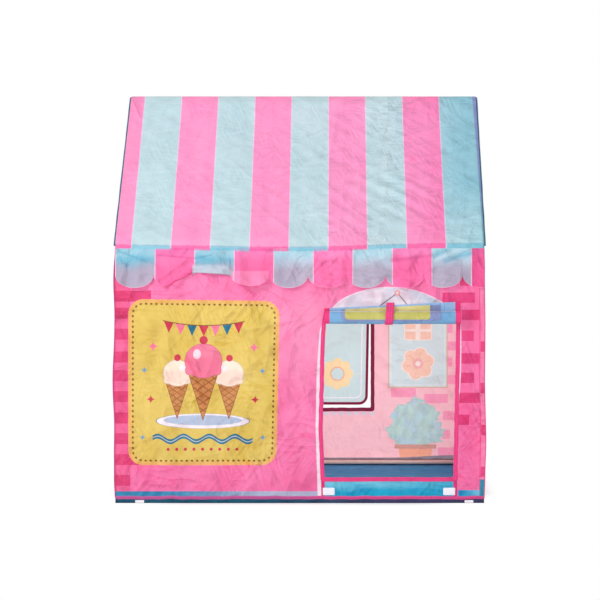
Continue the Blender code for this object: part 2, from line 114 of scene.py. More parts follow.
# Valance, as in the solids
SCALLOP_PITCH = 0.097
SCALLOP_LOBE = 0.0985
SCALLOP_CUSP = 0.0650
VALANCE_CREASE = 0.056
TUCK_RADIUS = 0.0020
TUCK_TURN = math.radians(178)
TUCKED_LOBE = 2
FLICKED_LOBE = 3
FOLDED_LOBE = 1
FOLD_START = (-0.3450, 0.1010)
FOLD_END = (-0.2690, 0.0600)
FOLD_RADIUS = 0.0011
# Each pull: height, place, angle and width of its crest, and the part of the seam that it keeps to
VALANCE_PULLS = (
    (0.0028, -0.395, -0.028, -27, 0.0055, -1.0, -0.355), (-0.0022, -0.415, -0.050, -40, 0.006, -1.0, -0.36),
    (0.0026, -0.310, -0.045, 38, 0.005, -0.37, -0.27), (-0.0020, -0.330, -0.070, 32, 0.006, -0.37, -0.27),
    (0.0022, -0.235, -0.028, -20, 0.005, -0.27, -0.17), (0.0022, 0.045, -0.045, 42, 0.006, 0.0, 0.10),
    (0.0024, 0.275, -0.045, 55, 0.006, 0.22, 0.34), (0.0020, 0.385, -0.040, 35, 0.005, 0.34, 1.0),
)

# Tapes
TAPE_THICK = 0.0026
TAPE_FOLD = 0.0013
BINDING_REACH = 0.009
PIPING_LOW = 0.0098
PIPING_HIGH = 0.018
RAKE_RADIUS = 0.0026
SEAM_RADIUS = 0.0011
PATCH_CORNER = 0.0025
STITCH = 0.0032

# Ties round the posts: half the mouth as an angle, how far the tips reach, and half the gap between them
TIE_MOUTH = 0.24
TIE_REACH = 0.0108
TIE_GAP = 0.0014
TIE_THICK = 0.0007

# Bricks in print
BRICK_TALL = 0.0262
COURSE_PITCH = 0.0523
BRICK_LONG = 0.079

# The sign's border, pennants and ribbon
DOT_PITCH = 0.0131
PENNANT_PITCH = 0.0295
RIBBON_WAVE = 0.066

# Door seam, roll and strap
DOOR_SEAM_LEFT = 0.490
DOOR_SEAM_RIGHT = 0.507
ROLL_TURNS = 4
ROLL_STEPS = 26
ROLL_SHRINK = 0.19
ROLL_RISE = 0.0178
ROLL_LAYER = 0.0014
ROLL_END = 0.0135
STRAP_WIDTH = 0.020
STRAP_TOP = 0.5045
STRAP_LEAN = 0.08
STRAP_TALL = 0.0188

# Window flap
FLAP_CORNER = 0.025
FLAP_LEAN = 0.006
FLAP_TAPE_REACH = 0.0072


def linear(red, green, blue):
    """A colour as the eye reads it, from 0 to 255, turned into light."""
    channels = [channel / 255 for channel in (red, green, blue)]
    return tuple(c / 12.92 if c <= 0.04045 else ((c + 0.055) / 1.055) ** 2.4 for c in channels)


ROOF_PINK = linear(252, 157, 203)
ROOF_BLUE = linear(191, 221, 226)
STRIPE_WHITE = linear(236, 222, 240)
WALL_PINK = linear(247, 128, 178)
BRICK_DARK = linear(226, 66, 128)
BRICK_MID = linear(242, 98, 158)
PANEL_YELLOW = linear(224, 198, 100)
PANEL_EDGE = linear(238, 180, 108)
DASH_BROWN = linear(140, 92, 40)
CRIMSON = linear(226, 52, 124)
DEEP_CRIMSON = linear(170, 40, 84)
PAPER_WHITE = linear(246, 240, 246)
LAVENDER = linear(206, 200, 216)
GABLE_BLUE = linear(92, 160, 206)
TEAL = linear(34, 96, 120)
CYAN = linear(98, 194, 222)
PALE_BLUE = linear(194, 226, 220)
SKY = linear(114, 164, 204)
LIME = linear(188, 183, 100)
SHADE_MAUVE = linear(132, 132, 176)
SALMON = linear(240, 150, 140)
LEAF = linear(160, 214, 196)
LEAF_DARK = linear(108, 170, 156)
WAFFLE = linear(206, 142, 84)
WAFFLE_LINE = linear(158, 96, 54)
CREAM = linear(250, 232, 210)
SCOOP_PINK = linear(244, 130, 160)
SCOOP_CRIMSON = linear(206, 58, 84)
SIGN_TEAL = linear(40, 124, 150)
PIPING_PINK = linear(184, 72, 140)
TAN = linear(210, 170, 130)


def mixed(first, second, share):
    """A colour part of the way from one to another."""
    return tuple(a + (b - a) * share for a, b in zip(first, second))


def arithmetic(operation, is_reversed=False):
    """A method of Value that adds one node of arithmetic."""
    def method(value, *others):
        return value.graph.calc(operation, *((*others, value) if is_reversed else (value, *others)))
    return method


class Value:
    """A node's output, for use in plain arithmetic."""

    __array_ufunc__ = None
    __add__, __radd__ = arithmetic("ADD"), arithmetic("ADD", True)
    __sub__, __rsub__ = arithmetic("SUBTRACT"), arithmetic("SUBTRACT", True)
    __mul__, __rmul__ = arithmetic("MULTIPLY"), arithmetic("MULTIPLY", True)
    __truediv__, __mod__, __abs__ = arithmetic("DIVIDE"), arithmetic("FLOORED_MODULO"), arithmetic("ABSOLUTE")
    __lt__, __gt__ = arithmetic("LESS_THAN"), arithmetic("GREATER_THAN")

    def __init__(self, graph, socket):
        self.graph, self.socket = graph, socket

    def __floordiv__(self, other):
        return self.graph.calc("FLOOR", self / other)


class Graph:
    """A tree of shader nodes."""

    def __init__(self, owner):
        owner.use_nodes = True
        self.nodes, self.links = owner.node_tree.nodes, owner.node_tree.links
        self.nodes.clear()

    def put(self, socket, value):
        """Links an output to the socket, or sets the socket's own value."""
        value = value.socket if isinstance(value, Value) else value
        if isinstance(value, bpy.types.NodeSocket):
            self.links.new(value, socket)
        else:
            socket.default_value = (*value, 1.0) if socket.type == "RGBA" else value

    def node(self, kind, inputs=(), output=0, **settings):
        """Adds a node with its settings and its inputs, by name or number, and gives one of its outputs."""
        node = self.nodes.new(f"ShaderNode{kind}")
        for name, value in settings.items():
            setattr(node, name, value)
        for name, value in dict(inputs).items():
            self.put(node.inputs[name], value)
        return node.outputs[output] if node.outputs else None

    def value(self, *arguments, **settings):
        """The same, for an output that is a number."""
        return Value(self, self.node(*arguments, **settings))

    def calc(self, operation, *values, **settings):
        """One step of arithmetic."""
        return self.value("Math", enumerate(values), operation=operation, **settings)

    def both(self, *shapes):
        """What lies in every shape."""
        whole = shapes[0]
        for shape in shapes[1:]:
            whole = self.calc("MAXIMUM", whole, shape)
        return whole

    def either(self, *shapes):
        """What lies in any of the shapes."""
        whole = shapes[0]
        for shape in shapes[1:]:
            whole = self.calc("MINIMUM", whole, shape)
        return whole

    def mix(self, share, first, second):
        """One shader over another."""
        return self.node("MixShader", {0: share, 1: first, 2: second})

    def seen(self):
        """1 for the rays that show the background: the camera's, and those in gloss and glass."""
        rays = (self.value("LightPath", output=f"Is {ray} Ray") for ray in ("Camera", "Glossy", "Transmission"))
        return self.both(*rays)


class Paint(Graph):
    """One material's nodes. Shapes are signed distances in metres, below zero inside."""

    def __init__(self, name, base):
        self.material = bpy.data.materials.new(name)
        super().__init__(self.material)
        self.place = self.node("UVMap", uv_map="cloth")
        self.u, self.v, _ = self.parts(self.place)
        self.colour = base

    def parts(self, place):
        """The three numbers of a place."""
        return [Value(self, number) for number in self.node("SeparateXYZ", {0: place}).node.outputs]

    def together(self, *numbers):
        """A place made of numbers."""
        return self.node("CombineXYZ", enumerate(numbers))

    def moved(self, operation, place, amounts):
        """A place moved or stretched by fixed amounts."""
        return self.node("VectorMath", {0: place, 1: amounts}, operation=operation)

    def room(self):
        """Places in the room, for pieces whose own coordinates won't do."""
        return self.node("TexCoord", output="Object")

    def span(self, low, high, value):
        """How far a value lies outside a span: below zero inside it."""
        return abs(value - (low + high) / 2) - (high - low) / 2

    def box(self, left, right, low, high, radius=0.0, u=None, v=None):
        """A rectangle, with round corners where a radius is given."""
        across = self.span(left + radius, right - radius, self.u if u is None else u)
        upwards = self.span(low + radius, high - radius, self.v if v is None else v)
        inner = self.both(across, upwards)
        if not radius:
            return inner
        return self.far(self.both(across, 0.0), self.both(upwards, 0.0)) + self.either(inner, 0.0) - radius

    def far(self, x, y):
        """The distance of a place from the middle."""
        return self.calc("SQRT", x * x + y * y)

    def disc(self, u, v, radius, tall=1.0, at=None):
        """A disc, or an ellipse where tall isn't 1. at is a pair of coordinates to use in place of the cloth's."""
        across, upwards = at or (self.u, self.v)
        return self.far(across - u, (upwards - v) / tall) - radius

    def side(self, u, v, angle, at=None):
        """A half plane through a point. The angle points out of it."""
        across, upwards = at or (self.u, self.v)
        return (across - u) * math.cos(math.radians(angle)) + (upwards - v) * math.sin(math.radians(angle))

    def line(self, u1, v1, u2, v2, width):
        """A straight stroke with square ends."""
        angle = math.degrees(math.atan2(v2 - v1, u2 - u1))
        middle = ((u1 + u2) / 2, (v1 + v2) / 2)
        along = abs(self.side(*middle, angle)) - math.hypot(u2 - u1, v2 - v1) / 2
        return self.both(along, abs(self.side(*middle, angle + 90)) - width / 2)

    def outside(self, shape):
        """All but a shape."""
        return shape * -1.0

    def rim(self, shape, width, at=0.0):
        """A line along a shape's edge, moved inwards where at is given."""
        return abs(shape + at) - width / 2

    def repeat(self, value, pitch, start=0.0):
        """The place within one repeat, from 0 to the pitch."""
        return (value - start) % pitch

    def tiled(self, value, pitch, start=0.0):
        """The place within one repeat, from its middle."""
        return self.repeat(value, pitch, start) - pitch / 2

    def mask(self, shape, soft=0.0005):
        """1 inside a shape and 0 outside, with a soft edge."""
        return self.calc("MULTIPLY_ADD", shape, -1 / soft, 0.5, use_clamp=True)

    def fill(self, shape, colour, soft=0.0005, strength=1.0):
        """Prints a shape in a colour."""
        self.colour = self.blend(self.mask(shape, soft) * strength, self.colour, colour)

    def blend(self, share, first, second, kind="MIX"):
        """One colour over another."""
        inputs = {"Factor": share, "A": first, "B": second}
        return self.node("Mix", inputs, "Result", data_type="RGBA", blend_type=kind)

    def ramp(self, value, low, high):
        """0 below a span of values, 1 above it and smooth between."""
        inputs = {"Value": value, "From Min": low, "From Max": high}
        return self.value("MapRange", inputs, "Result", interpolation_type="SMOOTHSTEP")

    def noise(self, size, detail=2.0, place=None, roughness=0.5, stretch=(1.0, 1.0)):
        """Cloudy noise about size across, from 0 to 1."""
        source = self.place if place is None else place
        if stretch != (1.0, 1.0):
            source = self.moved("MULTIPLY", source, (*stretch, 1.0))
        inputs = {"Scale": 1 / size, "Detail": detail, "Roughness": roughness, "Vector": source}
        return self.value("TexNoise", inputs, "Fac")

    def folds(self, long, wide, angle, seed, patchy=0.0):
        """Nearly straight creases about wide apart: their height, and 1 along the crease itself."""
        along, aside = self.side(0.0, 0.0, angle) / long, self.side(0.0, 0.0, angle + 90) / wide
        away = abs(self.noise(1.0, 0.0, self.together(along, aside, seed)) - 0.5)
        height = away * -wide
        line = self.calc("MULTIPLY_ADD", away, -22.0, 1.0, use_clamp=True)
        if patchy:
            spread = self.noise(patchy, 0.0, self.moved("ADD", self.place, (1.7 * seed, 0.9 * seed, 0.0)))
            height = height * self.ramp(spread, 0.42, 0.62)
            line = line * self.ramp(spread, 0.52, 0.72)
        return height, line

    def lie_still(self):
        """Measures places in the room from here on, for cloth whose own coordinates are folded up small."""
        self.u, _, self.v = self.parts(self.room())
        self.place = self.together(self.u, self.v)

    def bump(self, height, distance, strength=1.0, **under):
        """A normal bumped by a height."""
        return self.node("Bump", {"Strength": strength, "Distance": distance, "Height": height} | under)

    def threads(self, value, pitch):
        """Threads side by side, from -1 to 1."""
        return self.calc("SINE", value * (math.tau / pitch))

    def dye_and_shade(self, shade):
        """Darkens the colour by a shade of grey."""
        self.colour = self.blend(1.0, self.colour, self.node("CombineColor", enumerate([shade] * 3)), "MULTIPLY")

    def finish(self, surface):
        """Shows a shader on the material."""
        self.node("OutputMaterial", {"Surface": surface})
        return self.material

    def end(self, roughness, sheen=0.0, glow=0.0, specular=0.5, inside=0.0, **bent):
        """Joins the colour to the shaders. glow is the share of light that passes through the cloth."""
        colour = self.colour
        if inside:
            share = self.value("NewGeometry", output="Backfacing") * inside
            colour = self.blend(share, colour, mixed(PAPER_WHITE, WALL_PINK, 0.08))
        surface = self.node("BsdfPrincipled", {
            "Base Color": colour, "Roughness": roughness, "Specular IOR Level": specular, "Sheen Weight": sheen,
            "Sheen Roughness": 0.4,
        } | bent)
        if glow:
            surface = self.mix(glow, surface, self.node("BsdfTranslucent", {"Color": colour} | bent))
        return self.finish(surface)

    def end_cloth(
        self, crumple=1.0, glow=0.3, inside=0.45, size=0.020, roughness=0.62, shine=0.35, dye_and_shade=0.12, crease_shade=0.16
    ):
        """Finishes thin polyester: crumples, weave, uneven dye with painted shade and highlight in broad patches,
        painted shade along creases, and a faint sheen.
        """
        cloud = self.noise(0.13, 3.0) + self.noise(0.09, 1.0, stretch=(1.6, 0.5))
        # Uneven dye, together with broad patches of painted shade and highlight
        shade = cloud * (dye_and_shade * 0.5) + (0.992 - dye_and_shade * 0.5) + (self.noise(0.004, 2.0) * 0.05 - 0.025)
        creased = cloud * (-1.5 * dye_and_shade) + (1.02 + 1.5 * dye_and_shade)
        height = self.noise(size * 3.5, 1.0) * (size * 1.2)
        for i, (long, wide, angle, patchy) in enumerate((
            (11.0, 2.6, 22, 0.0), (9.0, 2.2, 81, 0.0), (10.0, 2.4, 141, 0.0), (4.5, 0.9, 52, 6.0),
            (4.0, 0.8, 112, 6.0), (4.2, 0.9, 172, 6.0), (1.6, 0.35, 15, 4.0), (1.5, 0.32, 100, 4.0),
        )):
            fold, line = self.folds(size * long, size * wide, angle, 3.1 * i + 1.7, size * patchy)
            height = height + fold
            if patchy == 6.0:
                creased = line * crease_shade + creased
        # A power darkens a colour and makes it richer at once: painted shade along the creases, and in broad patches
        # with the cloud.
        self.colour = self.node("Gamma", {"Color": self.colour, "Gamma": creased})
        self.dye_and_shade(shade)
        normal = self.bump(height * crumple, 0.27)
        weave = self.noise(0.0012, 1.0) * 0.6 + self.threads(self.u, 0.0007) * self.threads(self.v, 0.0007)
        normal = self.bump(weave, 0.00003, 0.5, Normal=normal)
        rough = self.noise(0.03) * 0.16 + (roughness - 0.08)
        return self.end(rough, shine / 2, glow, shine, inside, Normal=normal)


def waves(u, v, size, seed, count=14):
    """Smooth noise of about -1 to 1, with swells about size across, at one place or many."""
    random = np.random.default_rng(seed)
    total = 0.0
    for _ in range(count):
        angle, stretch = random.uniform(0, math.pi), random.uniform(0.6, 1.5)
        turn = random.uniform(0, math.tau)
        total = total + np.cos(math.tau * stretch / size * (u * math.cos(angle) + v * math.sin(angle)) + turn)
    return total / math.sqrt(count)


def crumple(u, v, seed, size=0.07):
    """Ridges and hollows of cloth that has been packed small, about -1 to 1."""
    broad = 0.5 - np.abs(waves(u, v, size, seed))
    fine = 0.5 - np.abs(waves(u, v, size * 0.45, seed + 1))
    return 0.7 * broad + 0.3 * fine


def swell(value, middle, width):
    """A bell curve: 1 at the middle."""
    return np.exp(-(((value - middle) / width) ** 2))


def packing_fold(u, v, at_u, at_v, angle, width=0.004):
    """The ridge that a packing fold leaves along a straight line."""
    away = (u - at_u) * math.sin(math.radians(angle)) - (v - at_v) * math.cos(math.radians(angle))
    return swell(away, 0.0, width)


def ease(share):
    """A share of a way, from 0 to 1, with a soft start and end."""
    share = np.clip(share, 0, 1)
    return share * share * (3 - 2 * share)


def fade(value, low, high, width):
    """0 at both ends of a span and 1 inside, over a width."""
    return ease(np.minimum((value - low) / width, (high - value) / width))


def spaced(stops, pitch):
    """Places from the first stop to the last, about a pitch apart, that include every stop."""
    places = [stops[0]]
    for low, high in zip(stops, stops[1:]):
        count = max(1, round((high - low) / pitch))
        places += [low + (high - low) * (i + 1) / count for i in range(count)]
    return np.array(places)


def arc(x, y, radius, begin, sweep, count, tall=None):
    """Points along an arc, as pairs, or along an ellipse's where tall is given. Angles are in degrees."""
    angles = [math.radians(begin + sweep * i / count) for i in range(count + 1)]
    return [(x + radius * math.cos(a), y + (tall or radius) * math.sin(a)) for a in angles]


def rounded(left, right, low, high, bend):
    """Points round a rectangle with round corners."""
    return [point for x, y, begin in (
        (right - bend, low + bend, 270), (right - bend, high - bend, 0),
        (left + bend, high - bend, 90), (left + bend, low + bend, 180),
    ) for point in arc(x, y, bend, begin, 90, 4)]


def headings(line):
    """Each point of a line in section, with the direction in which the line runs there."""
    for i, point in enumerate(line):
        run = Vector(line[min(i + 1, len(line) - 1)]) - Vector(line[max(i - 1, 0)])
        yield point, run.normalized()


def mesh_piece(name, points, faces, coordinates, look):
    """A smooth mesh with its metric coordinates, one pair for each point."""
    mesh = bpy.data.meshes.new(name)
    mesh.from_pydata([tuple(point) for point in points], [], faces)
    layer = mesh.uv_layers.new(name="cloth")
    corner_points = np.empty(len(mesh.loops), dtype=np.int32)
    mesh.loops.foreach_get("vertex_index", corner_points)
    layer.data.foreach_set("uv", np.asarray(coordinates, dtype=np.float32)[corner_points].ravel())
    mesh.materials.append(look)
    mesh.shade_smooth()
    piece = bpy.data.objects.new(name, mesh)
    bpy.context.scene.collection.objects.link(piece)
    return piece


def cloth_sheet(name, us, vs, place, look, coordinates=None, hole=None, is_flipped=False):
    """A sheet over a grid. place turns two arrays into x, y and z, and coordinates into the print's."""
    u, v = np.meshgrid(us, vs)
    points = np.stack([np.broadcast_to(value, u.shape).ravel() for value in place(u, v)], axis=1)
    pairs = np.stack([value.ravel() for value in (coordinates(u, v) if coordinates else (u, v))], axis=1)
    wide = len(us)
    faces = []
    for j in range(len(vs) - 1):
        for i in range(wide - 1):
            if hole:
                left, right, low, high = hole
                if left < (us[i] + us[i + 1]) / 2 < right and low < (vs[j] + vs[j + 1]) / 2 < high:
                    continue
            corner = j * wide + i
            face = (corner, corner + 1, corner + 1 + wide, corner + wide)
            faces.append(face[::-1] if is_flipped else face)
    used = np.zeros(len(points), dtype=bool)
    used[np.unique(faces)] = True
    number = np.cumsum(used) - 1
    return mesh_piece(name, points[used], number[np.array(faces)].tolist(), pairs[used], look)


def skin(name, rails, look, is_ring=False, pairs=None, sharp=55):
    """A closed tube: rails[i][j] is station j along rail i, and the rails go round the section."""
    points = np.array(rails, dtype=float)
    count, stations = points.shape[:2]
    if pairs is None:
        lengths = [np.cumsum(np.linalg.norm(np.diff(line, axis=0), axis=1)) for line in (points[0], points[:, 0])]
        pairs = np.stack(np.meshgrid(*(np.concatenate([[0], run]) for run in lengths)), axis=-1).reshape(-1, 2)
    faces = []
    for i in range(count):
        here, after = i * stations, (i + 1) % count * stations
        for j in range(stations if is_ring else stations - 1):
            following = (j + 1) % stations
            faces.append((here + j, here + following, after + following, after + j))
    if not is_ring:
        faces.append(tuple(i * stations for i in range(count)))
        faces.append(tuple(i * stations + stations - 1 for i in reversed(range(count))))
    piece = mesh_piece(name, points.reshape(-1, 3), faces, pairs, look)
    mesh = piece.data
    mesh.calc_loop_triangles()
    corners = [[mesh.vertices[i].co for i in triangle.vertices] for triangle in mesh.loop_triangles]
    if sum(a.dot(b.cross(c)) for a, b, c in corners) < 0:
        mesh.flip_normals()
    mesh.set_sharp_from_angle(angle=math.radians(sharp))
    return piece


def fit(piece, body, slot, *nodes):
    """Puts a piece on its body if one is named and hides the solids it stands for. The slot is not used."""
    if body:
        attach(piece, body)
    if nodes:
        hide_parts(*nodes)


# Which way each side and end lies
SIDES = {"left": -1, "right": 1}
ENDS = {"front": -1, "back": 1}

# The places that the solids give
(_, front, _), (side, deep, lip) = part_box("floor_sheet")
(_, roof_front, gable_seam), (_, _, ridge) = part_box("roof_front")
eave, half_depth = gable_seam + EAVE_BAND, -roof_front
slope = math.atan2(ridge - eave, half_depth)
roof_run = half_depth / math.cos(slope)
roll_low, roll_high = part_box("door_roll")
roll_y, roll_z = (roll_low[1] + roll_high[1]) / 2, (roll_low[2] + roll_high[2]) / 2
roll_half = (roll_high[1] - roll_low[1]) / 2
curtain_y = sum(corner[1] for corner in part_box("door_curtain")) / 2


def opening(node):
    """The hole inside a binding: its left, right, low and high edge."""
    low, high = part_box(node)
    return low[0] + BINDING_REACH, high[0] - BINDING_REACH, low[2] + BINDING_REACH, high[2] - BINDING_REACH


doorway, window = opening("door_binding"), opening("window_binding")
door_left, door_right, door_sill, _ = doorway


def make_camera():
    """The camera looks straight back along +Y. The lens is shifted to give the photograph's crop."""
    data = bpy.data.cameras.new("camera")
    data.sensor_width = SENSOR
    data.lens = SENSOR * LENS_IN_FRAMES
    data.shift_x = 0.5 - PHOTO_AXIS[0] / PHOTO_SIZE
    data.shift_y = PHOTO_AXIS[1] / PHOTO_SIZE - 0.5
    camera = bpy.data.objects.new("camera", data)
    camera.location = CAMERA_PLACE
    camera.rotation_euler = (math.radians(90), 0, 0)
    bpy.context.scene.collection.objects.link(camera)
    bpy.context.scene.camera = camera


def paint_studio_floor():
    """White paper that takes a soft shadow near the tent and runs out into plain white."""
    paint = Paint("studio_floor", linear(252, 252, 252))
    share = paint.ramp(paint.box(-side, side, -deep, deep, 0.2), -0.02, 0.05)
    plain = paint.node("BsdfPrincipled", {"Base Color": paint.colour, "Roughness": 0.9, "Specular IOR Level": 0.0})
    white = paint.node("Emission", {"Color": (1.0, 1.0, 1.0), "Strength": 1.0})
    return paint.finish(paint.mix(share * paint.seen(), plain, white))


def make_light():
    """Soft studio light, and a floor and background that fade to white."""
    world = bpy.data.worlds.new("studio")
    bpy.context.scene.world = world
    graph = Graph(world)
    lit, white = (
        graph.node("Background", {"Color": (1.0, 1.0, 1.0), "Strength": level}) for level in (ROOM_LIGHT, 1.0))
    graph.node("OutputWorld", {"Surface": graph.mix(graph.seen(), lit, white)})

    for name, place, size, power in (
        ("key", (-2.3, -2.9, 2.5), 1.1, 92.0),
        ("front", (0.5, -4.4, 0.9), 1.2, 46.0),
        ("back", (0.3, 3.2, 1.9), 2.2, 150.0),
    ):
        data = bpy.data.lights.new(name, "AREA")
        data.shape = "DISK"
        data.size = size
        data.energy = power
        lamp = bpy.data.objects.new(name, data)
        lamp.location = place
        lamp.rotation_euler = (Vector(LAMP_AIM) - Vector(place)).to_track_quat("-Z", "Y").to_euler()
        bpy.context.scene.collection.objects.link(lamp)

    reach = np.array([-PAPER_REACH, PAPER_REACH])
    cloth_sheet("studio_floor", reach, reach, lambda u, v: (u, v, 0.0), paint_studio_floor())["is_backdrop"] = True
    bpy.context.scene.view_settings.view_transform = "Standard"


def rows_of_bricks(paint, inward, low, high):
    """Dark bricks that alternate in width up one side of a wall. inward is the distance from that side."""
    start, wide, narrow = 0.0361, 0.060, 0.034
    is_wide = paint.repeat(paint.v, 2 * COURSE_PITCH, start) < COURSE_PITCH
    reach = is_wide * (wide - narrow) + narrow
    row = paint.repeat(paint.v, COURSE_PITCH, start) - BRICK_TALL
    return paint.both(row, inward - reach, paint.span(low, high, paint.v))


def bricks(paint, places, colour=BRICK_DARK, tall=BRICK_TALL):
    """Single bricks printed at (left, right, middle height)."""
    shapes = [paint.box(left, right, z - tall / 2, z + tall / 2) for left, right, z in places]
    paint.fill(paint.either(*shapes), colour)


def scattered_bricks(paint, share, colour):
    """Bricks picked at random from a wall's courses."""
    course = paint.v // BRICK_TALL
    column = (paint.u + course % 2.0 * (BRICK_LONG / 2)) // BRICK_LONG
    chance = paint.value("TexWhiteNoise", {"Vector": paint.together(column, course)}, noise_dimensions="2D")
    paint.colour = paint.blend(chance < share, paint.colour, colour)


def cone(paint, u, v, size, scoop, at=None):
    """An ice-cream cone with its tip down, its rim at v."""
    half, tall = 0.30 * size, 0.95 * size
    lean = math.degrees(math.atan2(half, tall))
    wafer = paint.both(
        paint.side(u + half, v, -lean, at), paint.side(u - half, v, 180 + lean, at), paint.side(u, v, 90, at)
    )
    paint.fill(wafer - 0.0016, WAFFLE_LINE)
    paint.fill(wafer, WAFFLE)
    for angle in (55, 125):
        stripes = paint.repeat(paint.side(u, v - tall, angle, at), size * 0.13)
        paint.fill(paint.both(wafer, stripes - size * 0.026), WAFFLE_LINE, strength=0.75)
    ball = paint.disc(u, v + size * 0.20, size * 0.36, 0.92, at)
    brim = paint.box(u - half * 1.16, u + half * 1.16, v - size * 0.07, v + size * 0.09, size * 0.07, *(at or ()))
    whole = paint.either(ball, brim)
    paint.fill(whole - 0.0016, mixed(scoop, DASH_BROWN, 0.45))
    paint.fill(whole, scoop)
    paint.fill(paint.disc(u - size * 0.13, v + size * 0.33, size * 0.075, 1.3, at), PAPER_WHITE, 0.002, 0.8)
    shade = paint.disc(u + size * 0.02, v + size * 0.10, size * 0.34, 0.55, at)
    paint.fill(shade, mixed(scoop, CRIMSON, 0.35), 0.02, 0.35)


def star(paint, u, v, radius, colour, at):
    """A soft four-pointed sparkle."""
    bent = paint.calc("SQRT", abs(at[0] - u)) + paint.calc("SQRT", abs(at[1] - v))
    paint.fill((bent - math.sqrt(radius)) * math.sqrt(radius), colour, 0.001)


def paint_sign(paint):
    """The yellow panel: a dashed border round a plain design of cones, pennants and a ribbon."""
    left, right, low, high = -0.431, -0.050, 0.0958, 0.5136
    middle, corner = (left + right) / 2, 0.038
    straight = paint.u, paint.v
    across, upwards = (paint.u - left) / (right - left), (paint.v - low) / (high - low)
    paint.u = across * (1.0 - upwards) * 0.0085 + paint.u
    paint.v = across * upwards * 0.0050 + paint.v
    edge = paint.box(left, right, low, high, corner)
    paint.fill(edge, PANEL_EDGE)
    paint.fill(edge + 0.0075, PANEL_YELLOW, 0.011)
    dashed_border(paint, left, right, low, high, corner, 0.0115)

    pennants(paint, middle, 0.449)
    mirrored = (abs(paint.u - middle), paint.v)
    dish = paint.disc(middle, 0.207, 0.118, 0.16)
    paint.fill(dish - 0.002, SIGN_TEAL)
    paint.fill(dish, PAPER_WHITE)
    paint.fill(paint.disc(middle, 0.209, 0.100, 0.13), mixed(SKY, PAPER_WHITE, 0.4))
    cone(paint, 0.066, 0.309, 0.098, CREAM, mirrored)
    cone(paint, middle, 0.334, 0.128, SCOOP_PINK)
    paint.fill(paint.disc(middle, 0.412, 0.0105), SCOOP_CRIMSON)
    paint.fill(paint.disc(0.066, 0.367, 0.0085, 1.0, mirrored), SCOOP_CRIMSON)

    ribbon(paint, middle, 0.162, 0.128)
    for u, v, radius, colour in (
        (0.128, 0.395, 0.017, SCOOP_PINK), (0.150, 0.335, 0.011, SKY), (0.133, 0.262, 0.014, SCOOP_CRIMSON),
        (0.154, 0.166, 0.010, SKY),
    ):
        star(paint, u, v, radius, colour, mirrored)
    paint.u, paint.v = straight


def dashed_border(paint, left, right, low, high, radius, inset):
    """Round-cornered row of dots inside a panel's edge, evenly spaced along its whole length."""
    across, upwards = abs(paint.u - (left + right) / 2), abs(paint.v - (low + high) / 2)
    corner_u, corner_v = (right - left) / 2 - radius, (high - low) / 2 - radius
    bend = radius - inset
    arc_end = corner_u + bend * math.pi / 2
    past_u, past_v = across - corner_u, upwards - corner_v
    angle = paint.calc("ARCTAN2", paint.both(past_u, 0.0), paint.both(past_v, 0.0))
    on_arc = angle * bend + corner_u
    run = on_arc + (past_v < 0.0) * (arc_end - past_v - on_arc)
    run = run + (past_u < 0.0) * (across - run)
    quarter = arc_end + corner_v
    pitch = quarter / (round(quarter / DOT_PITCH) - 0.5)
    at = (paint.tiled(run, pitch, pitch / 2), paint.box(left, right, low, high, radius) + inset)
    paint.fill(paint.box(-0.0030, 0.0030, -0.0024, 0.0024, 0.0018, *at), DASH_BROWN, 0.0010)


def pennants(paint, middle, v):
    """A sagging string of seven small pennants."""
    pitch = PENNANT_PITCH
    away = paint.u - middle
    height = paint.v - v - away * away * 1.1
    at = (paint.tiled(paint.u, pitch, middle - pitch / 2), height)
    within = paint.span(middle - 3.5 * pitch, middle + 3.5 * pitch, paint.u)
    flag = paint.both(
        paint.side(0.0125, 0.0, -24, at), paint.side(-0.0125, 0.0, 204, at), paint.side(0.0, 0.0, 90, at), within
    )
    kind = (away + pitch / 2) // pitch % 3.0
    warm = paint.blend(kind > 0.5, SCOOP_CRIMSON, SCOOP_PINK)
    paint.fill(flag, paint.blend(kind > 1.5, warm, SIGN_TEAL))
    paint.fill(paint.both(abs(height) - 0.0011, within), DASH_BROWN)


def ribbon(paint, middle, v, half):
    """A teal ribbon that waves, with dots under it."""
    height = abs(paint.v - v - paint.threads(paint.u - middle, RIBBON_WAVE) * 0.007)
    within = paint.span(middle - half, middle + half, paint.u)
    paint.fill(paint.both(height - 0.0062, within), SIGN_TEAL)
    paint.fill(paint.both(height - 0.0012, within), mixed(SIGN_TEAL, PAPER_WHITE, 0.6))
    pitch = 0.022
    row = paint.disc(0.0, v - 0.026, 0.0040, 1.0, (paint.tiled(paint.u, pitch, middle - pitch / 2), paint.v))
    paint.fill(paint.both(row, paint.span(middle - half * 0.8, middle + half * 0.8, paint.u)), SCOOP_CRIMSON)


def stray_lines(paint, left, right, low, high, colour, strength):
    """A few hairline scratches and fold marks in a print."""
    for across, up, angle, length in (
        (0.12, 0.78, 35, 0.05), (0.62, 0.90, -50, 0.04), (0.83, 0.42, 60, 0.05), (0.30, 0.20, -30, 0.06),
        (0.70, 0.12, 20, 0.05), (0.06, 0.46, 75, 0.05),
    ):
        ends = arc(left + (right - left) * across, low + (high - low) * up, length / 2, angle + 180, -180, 1)
        paint.fill(paint.line(*ends[0], *ends[1], 0.0008), colour, 0.0008, strength)


